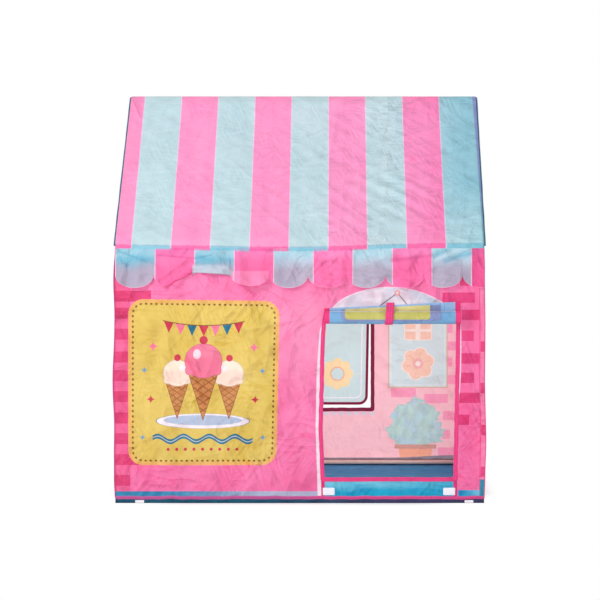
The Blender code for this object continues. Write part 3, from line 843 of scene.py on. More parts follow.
def paint_front_wall():
    """Front wall: bricks, the sign panel, the fanlight, the lines round the doorway and the sill."""
    paint = Paint("front_wall_print", WALL_PINK)
    # Painted shade: the wall darker towards the floor
    paint.fill(paint.side(0.0, 0.085, 90), mixed(WALL_PINK, BRICK_MID, 0.8), 0.12, 0.6)
    # Painted highlight: a soft lighter patch right of the sign
    paint.fill(paint.disc(0.02, 0.42, 0.10), mixed(WALL_PINK, PAPER_WHITE, 0.14), 0.12, 0.8)
    paint.fill(paint.box(-side, -0.426, 0.024, 0.590), mixed(WALL_PINK, linear(234, 92, 144), 0.72), 0.003)
    dark, pale = mixed(linear(222, 62, 114), DEEP_CRIMSON, 0.30), mixed(linear(236, 90, 142), CRIMSON, 0.45)
    column = [(-0.50, -0.419, z) for z in (0.4779, 0.4253, 0.3678, 0.3205, 0.2679, 0.2143, 0.1625)]
    column += [(-0.50, -0.374, 0.5206), (-0.50, -0.387, 0.1096), (-0.50, -0.426, 0.0574)]
    bricks(paint, column, paint.blend(paint.noise(0.05, 1.0), dark, pale), 0.0276)
    # Painted shade down the wall's left edge, where it turns round the corner
    paint.fill(paint.u + side - 0.0040, mixed(CRIMSON, DEEP_CRIMSON, 0.4), 0.004, 0.5)
    paint.fill(paint.box(0.4047, side, 0.040, 0.56), mixed(WALL_PINK, BRICK_MID, 0.60), 0.006, 0.75)
    bricks(paint, [
        (0.3585, 0.4400, 0.5170), (0.4047, 0.4530, 0.4735), (0.4047, 0.4372, 0.4210), (0.4047, 0.4530, 0.3640),
        (0.4047, 0.4387, 0.3155), (0.4005, 0.4510, 0.2650), (0.4005, 0.4262, 0.2095), (0.4030, 0.4340, 0.5600),
    ])
    paint.fill(paint.box(0.4527, 0.4700, 0.062, 0.62), mixed(WALL_PINK, PAPER_WHITE, 0.12), 0.003, 0.4)
    bricks(paint, [(0.4535, 0.4700, z) for z in (0.3940, 0.2900, 0.1840, 0.0790)])
    paint.fill(paint.box(0.4508, 0.4530, lip, 0.62), mixed(CRIMSON, BRICK_MID, 0.5))
    paint_sign(paint)
    stray_lines(paint, -0.42, -0.06, 0.11, 0.50, WAFFLE_LINE, 0.35)

    fanlight = paint.both(paint.disc(0.2258, 0.2935, 0.2508), paint.side(0.0, 0.484, -90))
    paint.fill(fanlight, mixed(PAPER_WHITE, ROOF_PINK, 0.25), 0.001)
    streaks = paint.ramp(paint.noise(0.05, 2.0, stretch=(0.5, 1.6)), 0.35, 0.65)
    pane = paint.blend(streaks, linear(222, 204, 218), linear(238, 230, 238))
    tinted = paint.ramp(paint.noise(0.07, 1.0, stretch=(1.2, 0.7)), 0.38, 0.85)
    paint.fill(fanlight + 0.0026, paint.blend(tinted, pane, linear(198, 214, 232)), 0.0010)
    nail = (0.2459, 0.5287)
    ring = paint.disc(*nail, 0.0056)
    for end in ((0.188, 0.4865), (0.280, 0.4870)):
        string = paint.both(paint.line(*nail, *end, 0.0026), paint.outside(ring))
        paint.fill(string, mixed(DASH_BROWN, SHADE_MAUVE, 0.55), 0.0008)
    paint.fill(paint.rim(ring, 0.0030), SALMON)

    lean = paint.ramp(paint.v, 0.425, 0.472) * 0.0080 + paint.ramp(paint.v, 0.30, 0.44) * 0.0040
    jamb = paint.box(door_left - 0.0170, door_left + 0.004, lip, 0.484, u=paint.u - lean)
    paint.fill(jamb, mixed(PAPER_WHITE, ROOF_PINK, 0.12), 0.0012)
    bowed = (paint.v - 0.36) * (paint.v - 0.36) * 0.35 + paint.u
    paint.fill(paint.box(door_right + 0.0105, door_right + 0.0135, lip, 0.500, u=bowed), PAPER_WHITE, 0.001, 0.9)

    cloud = paint.noise(0.06, 2.0, stretch=(0.5, 1.5)) * 0.036 + (paint.v - 0.008)
    fading = paint.ramp(cloud, 0.036, 0.062) * (1.0 - paint.ramp(paint.u, 0.18, 0.38) * 0.6)
    sill = paint.box(door_left - 0.0080, door_right + 0.0090, lip, door_sill)
    paint.fill(sill, paint.blend(fading, linear(8, 168, 206), linear(120, 206, 230)))
    for left, right in ((door_left - 0.0080, door_left + 0.0010), (door_right - 0.0010, door_right + 0.0085)):
        paint.fill(paint.box(left, right, lip, door_sill), CRIMSON)
    for left, right, high, low_u, high_u, *tints in (
        (-side, door_left - 0.0170, 0.0300, -0.36, -0.02, linear(54, 144, 186), mixed(SKY, LAVENDER, 0.6)),
        (door_right + 0.0105, 0.452, 0.0330, 0.41, 0.45, linear(36, 156, 202), linear(110, 196, 226)),
    ):
        paint.fill(paint.box(left, right, lip, high), paint.blend(paint.ramp(paint.u, low_u, high_u), *tints))
    paint.fill(paint.box(0.452, side, lip, 0.060), linear(38, 138, 170), 0.004)
    return paint.end_cloth(crumple=1.45, dye_and_shade=0.24, crease_shade=0.26)


def paint_back_wall():
    """Back wall: a poster, a potted plant, trim under the window and bricks. Seen through the doorway."""
    paint = Paint("back_wall_print", mixed(linear(255, 132, 166), CREAM, 0.36))
    bricks(paint, [
        (0.242, 0.314, 0.208), (0.338, 0.406, 0.1915), (0.404, 0.450, 0.2459), (0.404, 0.419, 0.2963),
        (0.404, 0.450, 0.3430), (0.404, 0.419, 0.3935), (0.378, 0.450, 0.0375), (0.389, 0.412, 0.0885),
        (0.392, 0.450, 0.1424), (-0.30, -0.22, 0.12), (-0.44, -0.36, 0.25), (-0.40, -0.32, 0.36),
        (-0.44, -0.38, 0.47), (-0.24, -0.20, 0.41), (-0.42, -0.34, 0.09), (0.30, 0.36, 0.545), (-0.12, -0.04, 0.56),
    ], linear(252, 108, 158))

    poster = paint.box(0.2335, 0.4057, 0.2216, 0.5500)
    paint.fill(poster, linear(214, 156, 96))
    paint.fill(poster + 0.0035, PALE_BLUE)
    paint.fill(paint.rim(poster + 0.009, 0.0016), PAPER_WHITE, 0.001, 0.7)
    peach = mixed(linear(244, 160, 84), CREAM, 0.35)
    parcel = paint.box(0.283, 0.357, 0.362, 0.425, 0.004)
    flower = (0.320, 0.292)
    petals = [paint.disc(*place, 0.0185) for place in arc(*flower, 0.027, 15, 300, 5)]
    for shape in (parcel, paint.either(*petals)):
        paint.fill(shape - 0.0030, CREAM)
        paint.fill(shape, peach)
    for band in (paint.span(0.313, 0.327, paint.u), paint.span(0.384, 0.392, paint.v)):
        paint.fill(paint.both(parcel, band), CREAM)
    for start, end in zip(arc(*flower, 0.016, 15, 300, 5), arc(*flower, 0.036, 15, 300, 5)):
        paint.fill(paint.line(*start, *end, 0.002), linear(236, 140, 80), 0.001, 0.6)
    paint.fill(paint.disc(*flower, 0.0150), SALMON)
    paint.fill(paint.disc(*flower, 0.0075), CREAM)

    left, right, sill, _ = window
    trim = paint.box(left - 0.010, right + 0.012, sill - 0.020, sill - 0.011)
    slant = paint.repeat(paint.side(0.0, 0.0, 35), 0.018)
    paint.fill(trim, mixed(WALL_PINK, PAPER_WHITE, 0.30))
    paint.fill(paint.both(trim, slant - 0.009), mixed(LEAF, PALE_BLUE, 0.4), strength=0.7)

    potted_plant(paint, 0.3125, 0.022)
    potted_plant(paint, -0.3150, 0.022)
    # Painted shade: the skirting band along the foot, sloping up to the right, painted near black where it lies low
    # inside the tent
    rise = paint.ramp(paint.u, 0.24, 0.42) * -0.0068
    paint.fill(paint.v - 0.0213 + rise, linear(8, 20, 72), 0.0008)
    return paint.end_cloth(crumple=1.3, inside=0.30)


def potted_plant(paint, u, low):
    """A leafy bush in a plain flower pot."""
    top, rim = low + 0.037, 0.012
    pot = paint.both(
        paint.side(u + 0.050, top, -8), paint.side(u - 0.050, top, 188), paint.side(u, top, 90), paint.side(u, low, -90)
    )
    shapes = [paint.disc(u + across, top + up, radius) for across, up, radius in (
        (0.0, 0.058, 0.062), (-0.046, 0.036, 0.034), (0.046, 0.036, 0.034), (-0.038, 0.082, 0.032),
        (0.038, 0.082, 0.032), (0.0, 0.104, 0.030),
    )]
    ragged = paint.noise(0.016, 1.0) * 0.044 - 0.022
    bush = paint.either(paint.either(*shapes) + ragged, paint.disc(u, top + 0.022, 0.060, 0.45))
    paint.fill(bush, mixed(LEAF_DARK, LEAF, 0.55))
    paint.fill(bush + 0.0040, LEAF, 0.0020)
    cool = paint.ramp(paint.noise(0.030, 1.0, stretch=(1.4, 0.7)), 0.42, 0.62)
    paint.fill(bush + 0.003, linear(142, 196, 222), strength=cool * 0.65)
    for pitch, shift, turn in ((0.030, 0.0, 60), (0.034, 0.011, 118), (0.026, 0.005, 85)):
        leaf_u = paint.tiled(paint.side(u + shift, top, turn - 90), pitch)
        leaf_v = paint.tiled(paint.side(u, top + shift, turn), pitch * 1.4)
        leaves = paint.disc(0.0, 0.0, pitch * 0.22, 2.4, (leaf_u, leaf_v))
        paint.fill(paint.both(leaves, bush), mixed(LEAF_DARK, LEAF, 0.25 + shift * 30), 0.001, 0.45)
    paint.fill(pot, linear(246, 136, 44))
    paint.fill(paint.box(u - 0.060, u + 0.060, top - rim, top), linear(198, 104, 46))


def paint_side_wall(name):
    """Side wall: quoins at both corners, a few bricks, and a printed window with a flower box."""
    paint = Paint(name, WALL_PINK)
    scattered_bricks(paint, 0.05, BRICK_MID)
    for inward in (paint.u + deep, deep - paint.u):
        paint.fill(rows_of_bricks(paint, inward, 0.020, 0.640), BRICK_DARK)
    casing = paint.box(-0.150, 0.150, 0.235, 0.500, 0.012)
    paint.fill(casing - 0.010, CRIMSON)
    paint.fill(casing, PAPER_WHITE)
    for left, right in ((-0.138, -0.006), (0.006, 0.138)):
        for low, high in ((0.247, 0.360), (0.372, 0.488)):
            paint.fill(paint.box(left, right, low, high, 0.004), SKY)
    shine = paint.repeat(paint.side(0.0, 0.0, 45), 0.090)
    panes = paint.both(
        shine - 0.018, paint.box(-0.138, 0.138, 0.247, 0.488),
        paint.outside(paint.box(-0.006, 0.006, 0.2, 0.5)), paint.outside(paint.box(-0.2, 0.2, 0.360, 0.372)),
    )
    paint.fill(panes, PAPER_WHITE, strength=0.55)
    at, within = (paint.tiled(paint.u, 0.040), paint.v), paint.span(-0.16, 0.16, paint.u)
    bloom = paint.both(paint.disc(0.0, 0.236, 0.013, 1.0, at), within)
    paint.fill(paint.both(paint.disc(0.0, 0.218, 0.020, 0.9, at), within), LEAF_DARK)
    paint.fill(bloom, SCOOP_CRIMSON)
    paint.fill(bloom + 0.009, PANEL_YELLOW)
    paint.fill(paint.box(-0.165, 0.165, 0.160, 0.212, 0.006), WAFFLE)
    paint.fill(paint.rim(paint.box(-0.158, 0.158, 0.167, 0.205, 0.004), 0.002), WAFFLE_LINE)
    paint.fill(paint.span(0.0, 0.030, paint.v), mixed(CYAN, SIGN_TEAL, 0.30))
    return paint.end_cloth(crumple=1.8, dye_and_shade=0.18)


def paint_gable(name):
    """Gable: blue with a dotted print and a pink border, edged in white, under the rafters."""
    paint = Paint(name, GABLE_BLUE)
    pitch = 0.052
    shift = paint.v // (pitch / 2) % 2.0 * (pitch / 2)
    at = (paint.tiled(paint.u + shift, pitch), paint.tiled(paint.v, pitch / 2))
    paint.fill(paint.disc(0.0, 0.0, 0.0055, 1.0, at), PAPER_WHITE)
    under = paint.side(0.0, ridge, 90 - math.degrees(slope), (abs(paint.u), paint.v))
    border = paint.outside(under + 0.030)
    paint.fill(border, ROOF_PINK)
    paint.fill(paint.rim(border, 0.003), PAPER_WHITE)
    return paint.end_cloth(crumple=1.8, dye_and_shade=0.18)


def eave_drop(paint):
    """How far the painted shade along the front eave hangs below its place at the left end."""
    drop = paint.ramp(paint.u, -0.46, -0.20) * 0.0036 + paint.ramp(paint.u, -0.20, -0.11) * 0.0022
    return drop - paint.ramp(paint.u, -0.02, 0.40) * 0.0100


def awning(paint, wide, start):
    """Every other stripe of an awning, and the lines between its stripes."""
    line = abs(paint.tiled(paint.u, wide, start - wide / 2)) - STRIPE_LINE / 2
    return paint.repeat(paint.u, 2 * wide, start) - wide, line


def paint_roof():
    """Roof: wide awning stripes with a pale line between them."""
    paint = Paint("roof_stripes", ROOF_PINK)
    far_right = paint.ramp(paint.u, 0.20, 0.46)
    paint.colour = paint.blend(far_right, ROOF_PINK, linear(252, 132, 188))
    shadow = paint.ramp(paint.noise(0.20, 1.0), 0.3, 0.8)
    blue = paint.blend(shadow, ROOF_BLUE, mixed(ROOF_BLUE, PAPER_WHITE, 0.12))
    low_down = paint.ramp(abs(paint.v), 0.30, 0.54)
    blue = paint.blend(far_right, blue, paint.blend(low_down, linear(150, 204, 218), linear(176, 217, 225)))
    striped, line = awning(paint, ROOF_STRIPE, ROOF_STRIPE_START)
    paint.fill(striped, blue)
    # Painted shade on the eave lip, which faces down: a darker tone of each stripe, with a faint painted shadow line
    # along its upper edge
    away = abs(paint.v) + (paint.noise(0.011, 1.0) * 0.0050 - 0.0025)
    band = eave_drop(paint) + (roof_run + 0.0008) - away
    eave_shade = paint.blend(paint.mask(striped), linear(238, 92, 166), linear(112, 198, 220))
    paint.fill(band, eave_shade, 0.0040, 0.70)
    paint.fill(paint.rim(band, 0.0016, 0.001), mixed(CRIMSON, SHADE_MAUVE, 0.5), 0.0012, 0.25)
    paint.fill(line, STRIPE_WHITE, 0.0012, 0.75)
    from_edge = side - paint.u
    paint.fill(from_edge - 0.0024, linear(92, 152, 176), 0.0015, 0.7)
    faded = abs(paint.v) * 0.0130 + (from_edge - 0.0052)
    paint.fill(faded, linear(146, 150, 212), 0.0015, 0.85)
    # Painted shade along a crease near the roof's left end
    crease = paint.line(-0.4575, -0.010, -0.4285, -0.086, 0.0030)
    paint.fill(crease, mixed(ROOF_PINK, CRIMSON, 0.7), 0.0030, 0.6)
    loose = paint.ramp(paint.u, -0.05, 0.20) * 0.45 + 0.45
    return paint.end_cloth(crumple=loose, size=0.015, inside=0.35)


def paint_valance():
    """Valance: stripes that fade down their length, with a pale cut edge, and painted shade and highlights along the
    eave and the folds.
    """
    paint = Paint("valance_stripes", ROOF_PINK)
    uneven = paint.noise(0.05, 1.0) * 0.026 + (paint.v - 0.013)
    fading, seam = paint.ramp(uneven, -0.058, -0.022), paint.ramp(uneven, -0.032, -0.010)
    near_left = paint.ramp(paint.u, 0.0, -0.25)

    def faded(foot, right, left, top_right, top_left):
        """A stripe's colour: at its foot, in its middle towards each side of the tent, and at its top."""
        low = paint.blend(fading, linear(*foot), paint.blend(near_left, linear(*right), linear(*left)))
        return paint.blend(seam, low, paint.blend(near_left, linear(*top_right), linear(*top_left)))

    # Towards the left the stripes' tops are darker: painted shade
    paint.colour = faded((247, 118, 176), (246, 120, 178), (247, 128, 184), (246, 142, 198), (238, 124, 184))
    blue = faded((176, 174, 194), (184, 208, 224), (116, 194, 216), (176, 220, 232), (158, 210, 226))
    striped, line = awning(paint, VALANCE_STRIPE, VALANCE_STRIPE_START - VALANCE_STRIPE)
    paint.fill(striped, blue)
    paint.fill(line, STRIPE_WHITE, 0.0012, 0.8)
    # The valance's top carries on the roof's painted eave shade, coloured by the roof's stripes
    ragged = eave_drop(paint) + (paint.noise(0.012, 1.0) * 0.0050 + paint.v)
    roof_striped = awning(paint, ROOF_STRIPE, ROOF_STRIPE_START)[0]
    eave_shade = paint.blend(paint.mask(roof_striped), linear(240, 100, 170), linear(120, 200, 222))
    paint.fill(0.0022 - ragged, eave_shade, 0.0025, 0.75)
    # Painted shade along the valance's folds, and one painted highlight (the pale blue line) beside a fold on the right
    teal, deep_pink = linear(76, 164, 194), linear(206, 66, 138)
    for *ends, width, colour, strength in (
        (-0.4570, -0.0050, -0.3816, -0.0325, 0.0050, teal, 0.55),
        (-0.3569, -0.0157, -0.2626, -0.0240, 0.0034, deep_pink, 0.50),
        (-0.2626, -0.0240, -0.2223, -0.0157, 0.0034, teal, 0.60),
        (0.2300, -0.0290, 0.3314, -0.0167, 0.0070, deep_pink, 0.50),
        (0.3350, -0.0190, 0.3730, -0.0020, 0.0100, teal, 0.55),
        (0.3640, -0.0300, 0.4310, -0.0095, 0.0100, linear(84, 178, 208), 0.65),
        (0.3389, -0.0287, 0.4024, 0.0, 0.0060, linear(198, 228, 240), 0.75),
    ):
        paint.fill(paint.line(*ends, width), colour, 1.3 * width, strength)
    # Painted shade towards the valance's right end
    paint.fill(0.4335 - paint.u, linear(226, 72, 140), 0.0015, 0.70)
    away = paint.value("Attribute", output="Fac", attribute_name="from_edge")
    cut = paint.blend(paint.mask(striped), linear(255, 176, 214), STRIPE_WHITE)
    paint.fill(away - 0.0011, cut, 0.0010, 0.70)
    # Painted shade along the crease where a lobe's corner is folded under
    under = paint.line(FOLD_START[0], 0.001 - FOLD_START[1], FOLD_END[0], 0.001 - FOLD_END[1], 0.0065)
    paint.fill(under, mixed(CRIMSON, ROOF_PINK, 0.20), 0.0030, 0.70)
    flicked, tucked = (
        paint.span(left, left + SCALLOP_PITCH, paint.u)
        for left in (lobe * SCALLOP_PITCH - side for lobe in (FLICKED_LOBE, TUCKED_LOBE))
    )
    # Painted highlight where the flicked lobe turns up below its crease
    paint.fill(paint.both(flicked + 0.002, paint.side(0.0, -VALANCE_CREASE, 90)), linear(255, 172, 210), 0.003, 0.50)
    paint.fill(tucked, linear(200, 214, 226), strength=paint.ramp(paint.v, -0.035, -0.048) * 0.85)
    return paint.end_cloth(crumple=1.4, size=0.018, inside=0.30, dye_and_shade=0.18, crease_shade=0.12)


def crimson_ends(paint):
    """The tape down both edges of the door cloth."""
    left, right = roll_low[0], roll_high[0]
    for low, high in ((left - 0.01, left + ROLL_END), (right - ROLL_END, right + 0.01)):
        paint.fill(paint.span(low, high, paint.u), CRIMSON, 0.0006)


def paint_curtain():
    """Door cloth above the roll: sky-blue planks, and the sign that is rolled up with it."""
    # Lighter than the same cloth on the roll: painted light on the curtain above the roll, which lies in the valance's
    # shade
    paint = Paint("door_print", linear(152, 192, 232))
    plank = paint.repeat(paint.u, 0.043, roll_low[0])
    paint.fill(plank - 0.0018, mixed(SKY, SHADE_MAUVE, 0.35), 0.0015, 0.6)
    paint.fill(paint.box(0.3276, 0.3560, -0.60, -0.060, 0.004), SHADE_MAUVE, 0.004, 0.7)
    paint.fill(paint.box(0.1080, 0.3340, -0.60, -0.042, 0.010), SHADE_MAUVE, 0.003, 0.5)
    paint.fill(paint.box(0.1139, 0.3276, -0.60, -0.048, 0.008), linear(226, 218, 146))
    crimson_ends(paint)
    paint.lie_still()
    return paint.end_cloth(crumple=0.6, inside=0.3)


def paint_roll():
    """Door cloth on the roll: the sign and its shade, and a painted highlight along the line where the layers meet."""
    paint = Paint("door_roll_print", SKY)
    paint.fill(paint.box(0.1030, 0.3560, 0.0335, 0.120, 0.014), SHADE_MAUVE, 0.003, 0.75)
    paint.fill(paint.box(0.1139, 0.3276, 0.0390, 0.118, 0.009), LIME)
    # Painted highlight along the top of the roll, where the curtain meets it
    paint.fill(paint.span(0.0598, 0.0616, paint.v), linear(232, 238, 252), 0.0008, 0.85)
    crimson_ends(paint)
    return paint.end_cloth(crumple=0.8, glow=0.1, inside=0.0, size=0.016)


def tape(name, colour, stitching=None, right_colour=None):
    """Woven tape with a row of stitches along it. right_colour takes over towards the tent's right."""
    paint = Paint(name, colour)
    if right_colour:
        paint.colour = paint.blend(paint.ramp(paint.parts(paint.room())[0], -0.05, 0.10), colour, right_colour)
    woven = paint.threads(paint.v, 0.00143) * 0.5 + paint.threads(paint.u, 0.0011)
    paint.dye_and_shade(paint.noise(0.025, 3.0) * 0.30 + 0.85)
    dash = paint.repeat(paint.u, STITCH) - STITCH * 0.62
    stitch = paint.both(dash, paint.repeat(paint.v, 0.0062, 0.0022) - 0.0006)
    paint.fill(stitch, stitching or mixed(colour, PAPER_WHITE, 0.35), 0.0003, 0.7)
    normal = paint.bump(paint.noise(0.012, 2.0, stretch=(1.0, 0.5)), 0.0012, 0.8)
    normal = paint.bump(paint.mask(stitch, 0.0004) * 2.0 + woven, 0.00008, 0.8, Normal=normal)
    return paint.end(paint.noise(0.01) * 0.15 + 0.60, 0.25, 0.12, 0.3, Normal=normal)


def plastic(name, colour, roughness):
    """Moulded or drawn plastic: fine grain, faint scuffs and dust."""
    paint = Paint(name, colour)
    paint.nodes.remove(paint.place.node)
    paint.place = paint.room()
    scuffs = paint.ramp(paint.noise(0.02, 4.0), 0.52, 0.75)
    dusty = paint.blend(paint.noise(0.09, 2.0) * 0.12, colour, mixed(colour, TAN, 0.35))
    paint.colour = paint.blend(scuffs * 0.10, dusty, mixed(colour, LAVENDER, 0.6))
    return paint.end(scuffs * 0.18 + roughness, Normal=paint.bump(paint.noise(0.0012, 2.0), 0.00006, 0.6))


def hook_tape():
    """Hook-and-loop patch: a fuzzy field."""
    paint = Paint("hook_tape", linear(226, 229, 238))
    fuzz = paint.noise(0.0009, 3.0, roughness=0.7)
    paint.dye_and_shade(fuzz * 0.5 + 0.72)
    return paint.end(0.9, 0.5, 0.0, 0.2, Normal=paint.bump(fuzz, 0.0006, 0.9))


def make_roof(look):
    """One sheet from the front eave over the ridge to the back eave, a little slack between its seams."""
    half = EAVE_BAND + roof_run
    folds = (
        (0.0012, -0.30, -0.20, 72), (0.0010, 0.25, -0.30, 108), (0.0011, 0.0, -0.26, 2), (0.0009, 0.0, -0.42, -3),
        (0.0011, 0.30, -0.45, 38), (0.0010, 0.12, 0.2, 84), (0.0010, 0.0, 0.25, 1),
    )

    def place(u, v):
        away = np.abs(v)
        down = np.clip(away, 0, roof_run)
        eave_dip = EAVE_ROUND * 0.42 * swell(away, roof_run, EAVE_ROUND * 1.5)
        ridge_dip = RIDGE_ROUND * 0.22 * swell(away, 0.0, RIDGE_ROUND * 1.6)
        y = down * math.cos(slope) - eave_dip * 0.75
        z = ridge - down * math.sin(slope) - np.clip(away - roof_run, 0, None) - ridge_dip - eave_dip * 0.35

        slack = fade(u, -side, side, 0.10) * fade(away, 0.0, roof_run, 0.10)
        loose = fade(u, -side, side, 0.012) * fade(away, 0.0, roof_run, 0.012)
        drag = 0.0019 * swell(u, 0.26, 0.16) * swell(away, 0.36, 0.13) * np.sin(math.tau * (u * 0.62 - away) / 0.052)
        corner = 0.0030 * packing_fold(u, v, -0.4455, -0.050, -69, 0.0060) * fade(-v, 0.004, 0.104, 0.02)
        lines = sum(tall * packing_fold(u, v, *at) for tall, *at in folds)
        lift = (0.0020 * waves(u, v * 0.6, 0.16, 11) - 0.0034) * slack + 0.0012 * fade(away, 0.0, roof_run, 0.03)
        lift = lift + (0.0016 * crumple(u, v, 13, 0.075) + drag + lines + corner) * loose
        lift = np.where(away > roof_run, 0.0, lift)
        ripple = 0.0010 * np.abs(crumple(u, v, 16, 0.05)) * fade(away, roof_run - 0.02, half + 0.02, 0.02)
        y = y + lift * math.sin(slope) - np.where(away > roof_run, ripple, 0.0)
        return u, np.where(v < 0, -y, y), z + lift * math.cos(slope)

    def printed(u, v):
        """The stripes lean a little to the left towards the ridge."""
        return u + 0.0040 * np.clip(1 - np.abs(v) / roof_run, 0, 1), v

    rows = spaced([-half, -roof_run, 0.02 - roof_run, -0.02, 0.0, 0.02, roof_run - 0.02, roof_run, half], FINE)
    columns = spaced([-side - 0.0006, side + 0.0006], FINE)
    roof = cloth_sheet("roof_canopy", columns, rows, place, look, printed)
    fit(roof, "tent", "roof_cloth", "roof_front", "roof_back")


def wall_relief(u, v, half, seed, hole=None):
    """How far a wall stands out of its plane: slack, creases and fold lines, still at its seams and its hole."""
    slack = fade(u, -half, half, 0.10) * fade(v, lip, gable_seam, 0.10)
    loose = fade(u, -half, half, 0.015) * fade(v, lip, gable_seam, 0.015)
    swells = 0.0022 * waves(u, v, 0.20, seed) + 0.0032 * crumple(u + v, (v - u) * 0.35, seed + 7, 0.13)
    lines = (
        0.0010 * packing_fold(u, v, -0.13, 0.3, 90) + 0.0009 * packing_fold(u, v, 0.0, 0.36, 1.5)
        + 0.0009 * packing_fold(u, v, 0.21, 0.2, 92)
    )
    relief = (swells + 0.0012) * slack + (0.0020 * crumple(u, v, seed + 3, 0.075) + lines) * loose
    relief = relief * (0.15 + 0.85 * fade(v, lip, gable_seam - 0.075, 0.05))
    if hole:
        left, right, low, high = hole
        across, upwards = np.maximum(left - u, u - right), np.maximum(low - v, v - high)
        relief = relief * ease(np.maximum(across, upwards) / 0.05)
    return np.clip(relief, -0.0012, 0.009)


def corner_bulge(z, is_right):
    """How far the slack at a corner seam stands out sideways at a height."""
    if is_right:
        out = 0.0014 + 0.0030 * swell(z, 0.17, 0.08) + 0.0012 * swell(z, 0.42, 0.06)
    else:
        out = 0.0022 + 0.0038 * swell(z, 0.31, 0.07) + 0.0012 * swell(z, 0.56, 0.05)
    return out * fade(z, lip, gable_seam, 0.05)


def bulged(u, z):
    """A place across the front or back wall, moved out where a corner seam is near."""
    near = np.clip((np.abs(u) - side + 0.05) / 0.05, 0, 1) ** 2
    out = np.where(u > 0, corner_bulge(z, True), corner_bulge(z, False))
    return u + np.sign(u) * out * near


def jamb_lean(x, z):
    """How far each side of the doorway is pulled over to the right at a place."""
    pull = np.interp(
        z, (lip, 0.064, 0.12, 0.19, 0.405, 0.45, 0.478, 0.500),
        (0.0050, 0.0038, 0.0014, -0.0012, 0.0040, 0.0065, 0.0125, 0.0145),
    )
    left = pull * ease(1 - np.abs(x - door_left) / 0.06)
    right = 0.0035 * ease(1 - np.abs(x - door_right) / 0.05) * np.clip((z - 0.26) / 0.18, -1, 1)
    return (left + right) * np.clip((0.56 - z) / 0.08, 0, 1)


def make_walls():
    """The four walls and the two gables."""
    top = eave - 0.001

    def front_place(u, v):
        tension = swell(u, door_left - 0.05, 0.06) * fade(v, 0.10, 0.46, 0.12)
        clear = np.clip((door_left - 0.012 - u) / 0.02, 0, 1)
        relief = 0.0022 * tension * clear * np.sin((u + v * 0.4) * math.tau / 0.055)
        bearing = np.arctan2(v - 0.49, u - 0.05)
        spread = swell(np.hypot(u - 0.05, v - 0.49), 0.16, 0.09) * swell(bearing, -2.45, 0.42)
        relief = relief + 0.0030 * spread * np.sin(bearing * 17.0) + wall_relief(u, v, side, 21, doorway)
        return bulged(u, v) + jamb_lean(u, v), front - relief, v

    def back_place(u, v):
        return bulged(u, v), deep + wall_relief(u, v, side, 31, window), v

    for name, place, look, hole in (
        ("front", front_place, paint_front_wall(), doorway), ("back", back_place, paint_back_wall(), window),
    ):
        left, right, low, high = hole
        us, vs = spaced([-side, left, right, side], FINE), spaced([lip, low, high, gable_seam, top], FINE)
        wall = cloth_sheet(f"{name}_wall_cloth", us, vs, place, look, hole=hole, is_flipped=name == "back")
        fit(wall, "tent", "wall_cloth", f"{name}_wall")
        2 * side * (top - lip) - (right - left) * (high - low)

    for (name, sign), seed in zip(SIDES.items(), (41, 51)):

        def side_place(u, v, sign=sign, seed=seed):
            return sign * (side + wall_relief(u, v, deep, seed) + corner_bulge(v, sign > 0)), u, v

        def gable_print(u, v):
            return u, gable_seam + v * (ridge - np.abs(u) * math.tan(slope) - 0.0015 - gable_seam)

        def gable_place(u, v, sign=sign, seed=seed, flat=gable_print):
            z = flat(u, v)[1]
            slack = fade(v, 0, 1, 0.25) * fade(u, -deep, deep, 0.08)
            relief = (0.0020 * waves(u, z, 0.22, seed) + 0.0012 * crumple(u, z, seed + 3, 0.09)) * slack
            return sign * (side + np.clip(relief, -0.001, 0.006)), u, z

        us, vs = spaced([-deep, deep], FINE), spaced([lip, gable_seam], FINE)
        look = paint_side_wall(f"{name}_wall_print")
        wall = cloth_sheet(f"{name}_wall_cloth", us, vs, side_place, look, is_flipped=sign < 0)
        fit(wall, "tent", "wall_cloth", f"{name}_wall")

        us, vs = spaced([-deep, 0.0, deep], FINE), np.linspace(0, 1, SHEET_ROWS)
        look = paint_gable(f"{name}_gable_print")
        gable = cloth_sheet(f"{name}_gable_cloth", us, vs, gable_place, look, gable_print, is_flipped=sign < 0)
        fit(gable, "tent", "gable_cloth", f"{name}_gable")


def valance_hang(u, v):
    """The valance at u along its seam and v, from 0 at the seam to 1 at its cut edge.

    Gives its length there, how far down the place is, how far it leans out and how far it turns over.
    """
    along = (u + side) / SCALLOP_PITCH
    lobe = np.floor(along + 1e-6)
    bow = np.sqrt(np.clip(1 - (2 * (along - lobe) - 1) ** 2, 0, 1))
    length = SCALLOP_CUSP + (SCALLOP_LOBE - SCALLOP_CUSP) * bow
    shape = np.clip(bow / 0.7, 0, 1)
    wide = math.radians(3.5) * (0.5 + 0.5 * np.sin(math.tau * u / 0.31)) * bow
    wide = np.where(lobe == TUCKED_LOBE, math.radians(9.0) * np.sin(math.pi * (along - lobe)) ** 2, wide)
    flare = math.radians(4.5) + math.radians(2.2) * waves(u, u * 0, 0.075, 61) + wide
    turn = np.where(lobe == TUCKED_LOBE, -TUCK_TURN * shape, 0.0)
    return length, v * length, flare, np.where(lobe == FLICKED_LOBE, math.radians(28) * shape, turn)


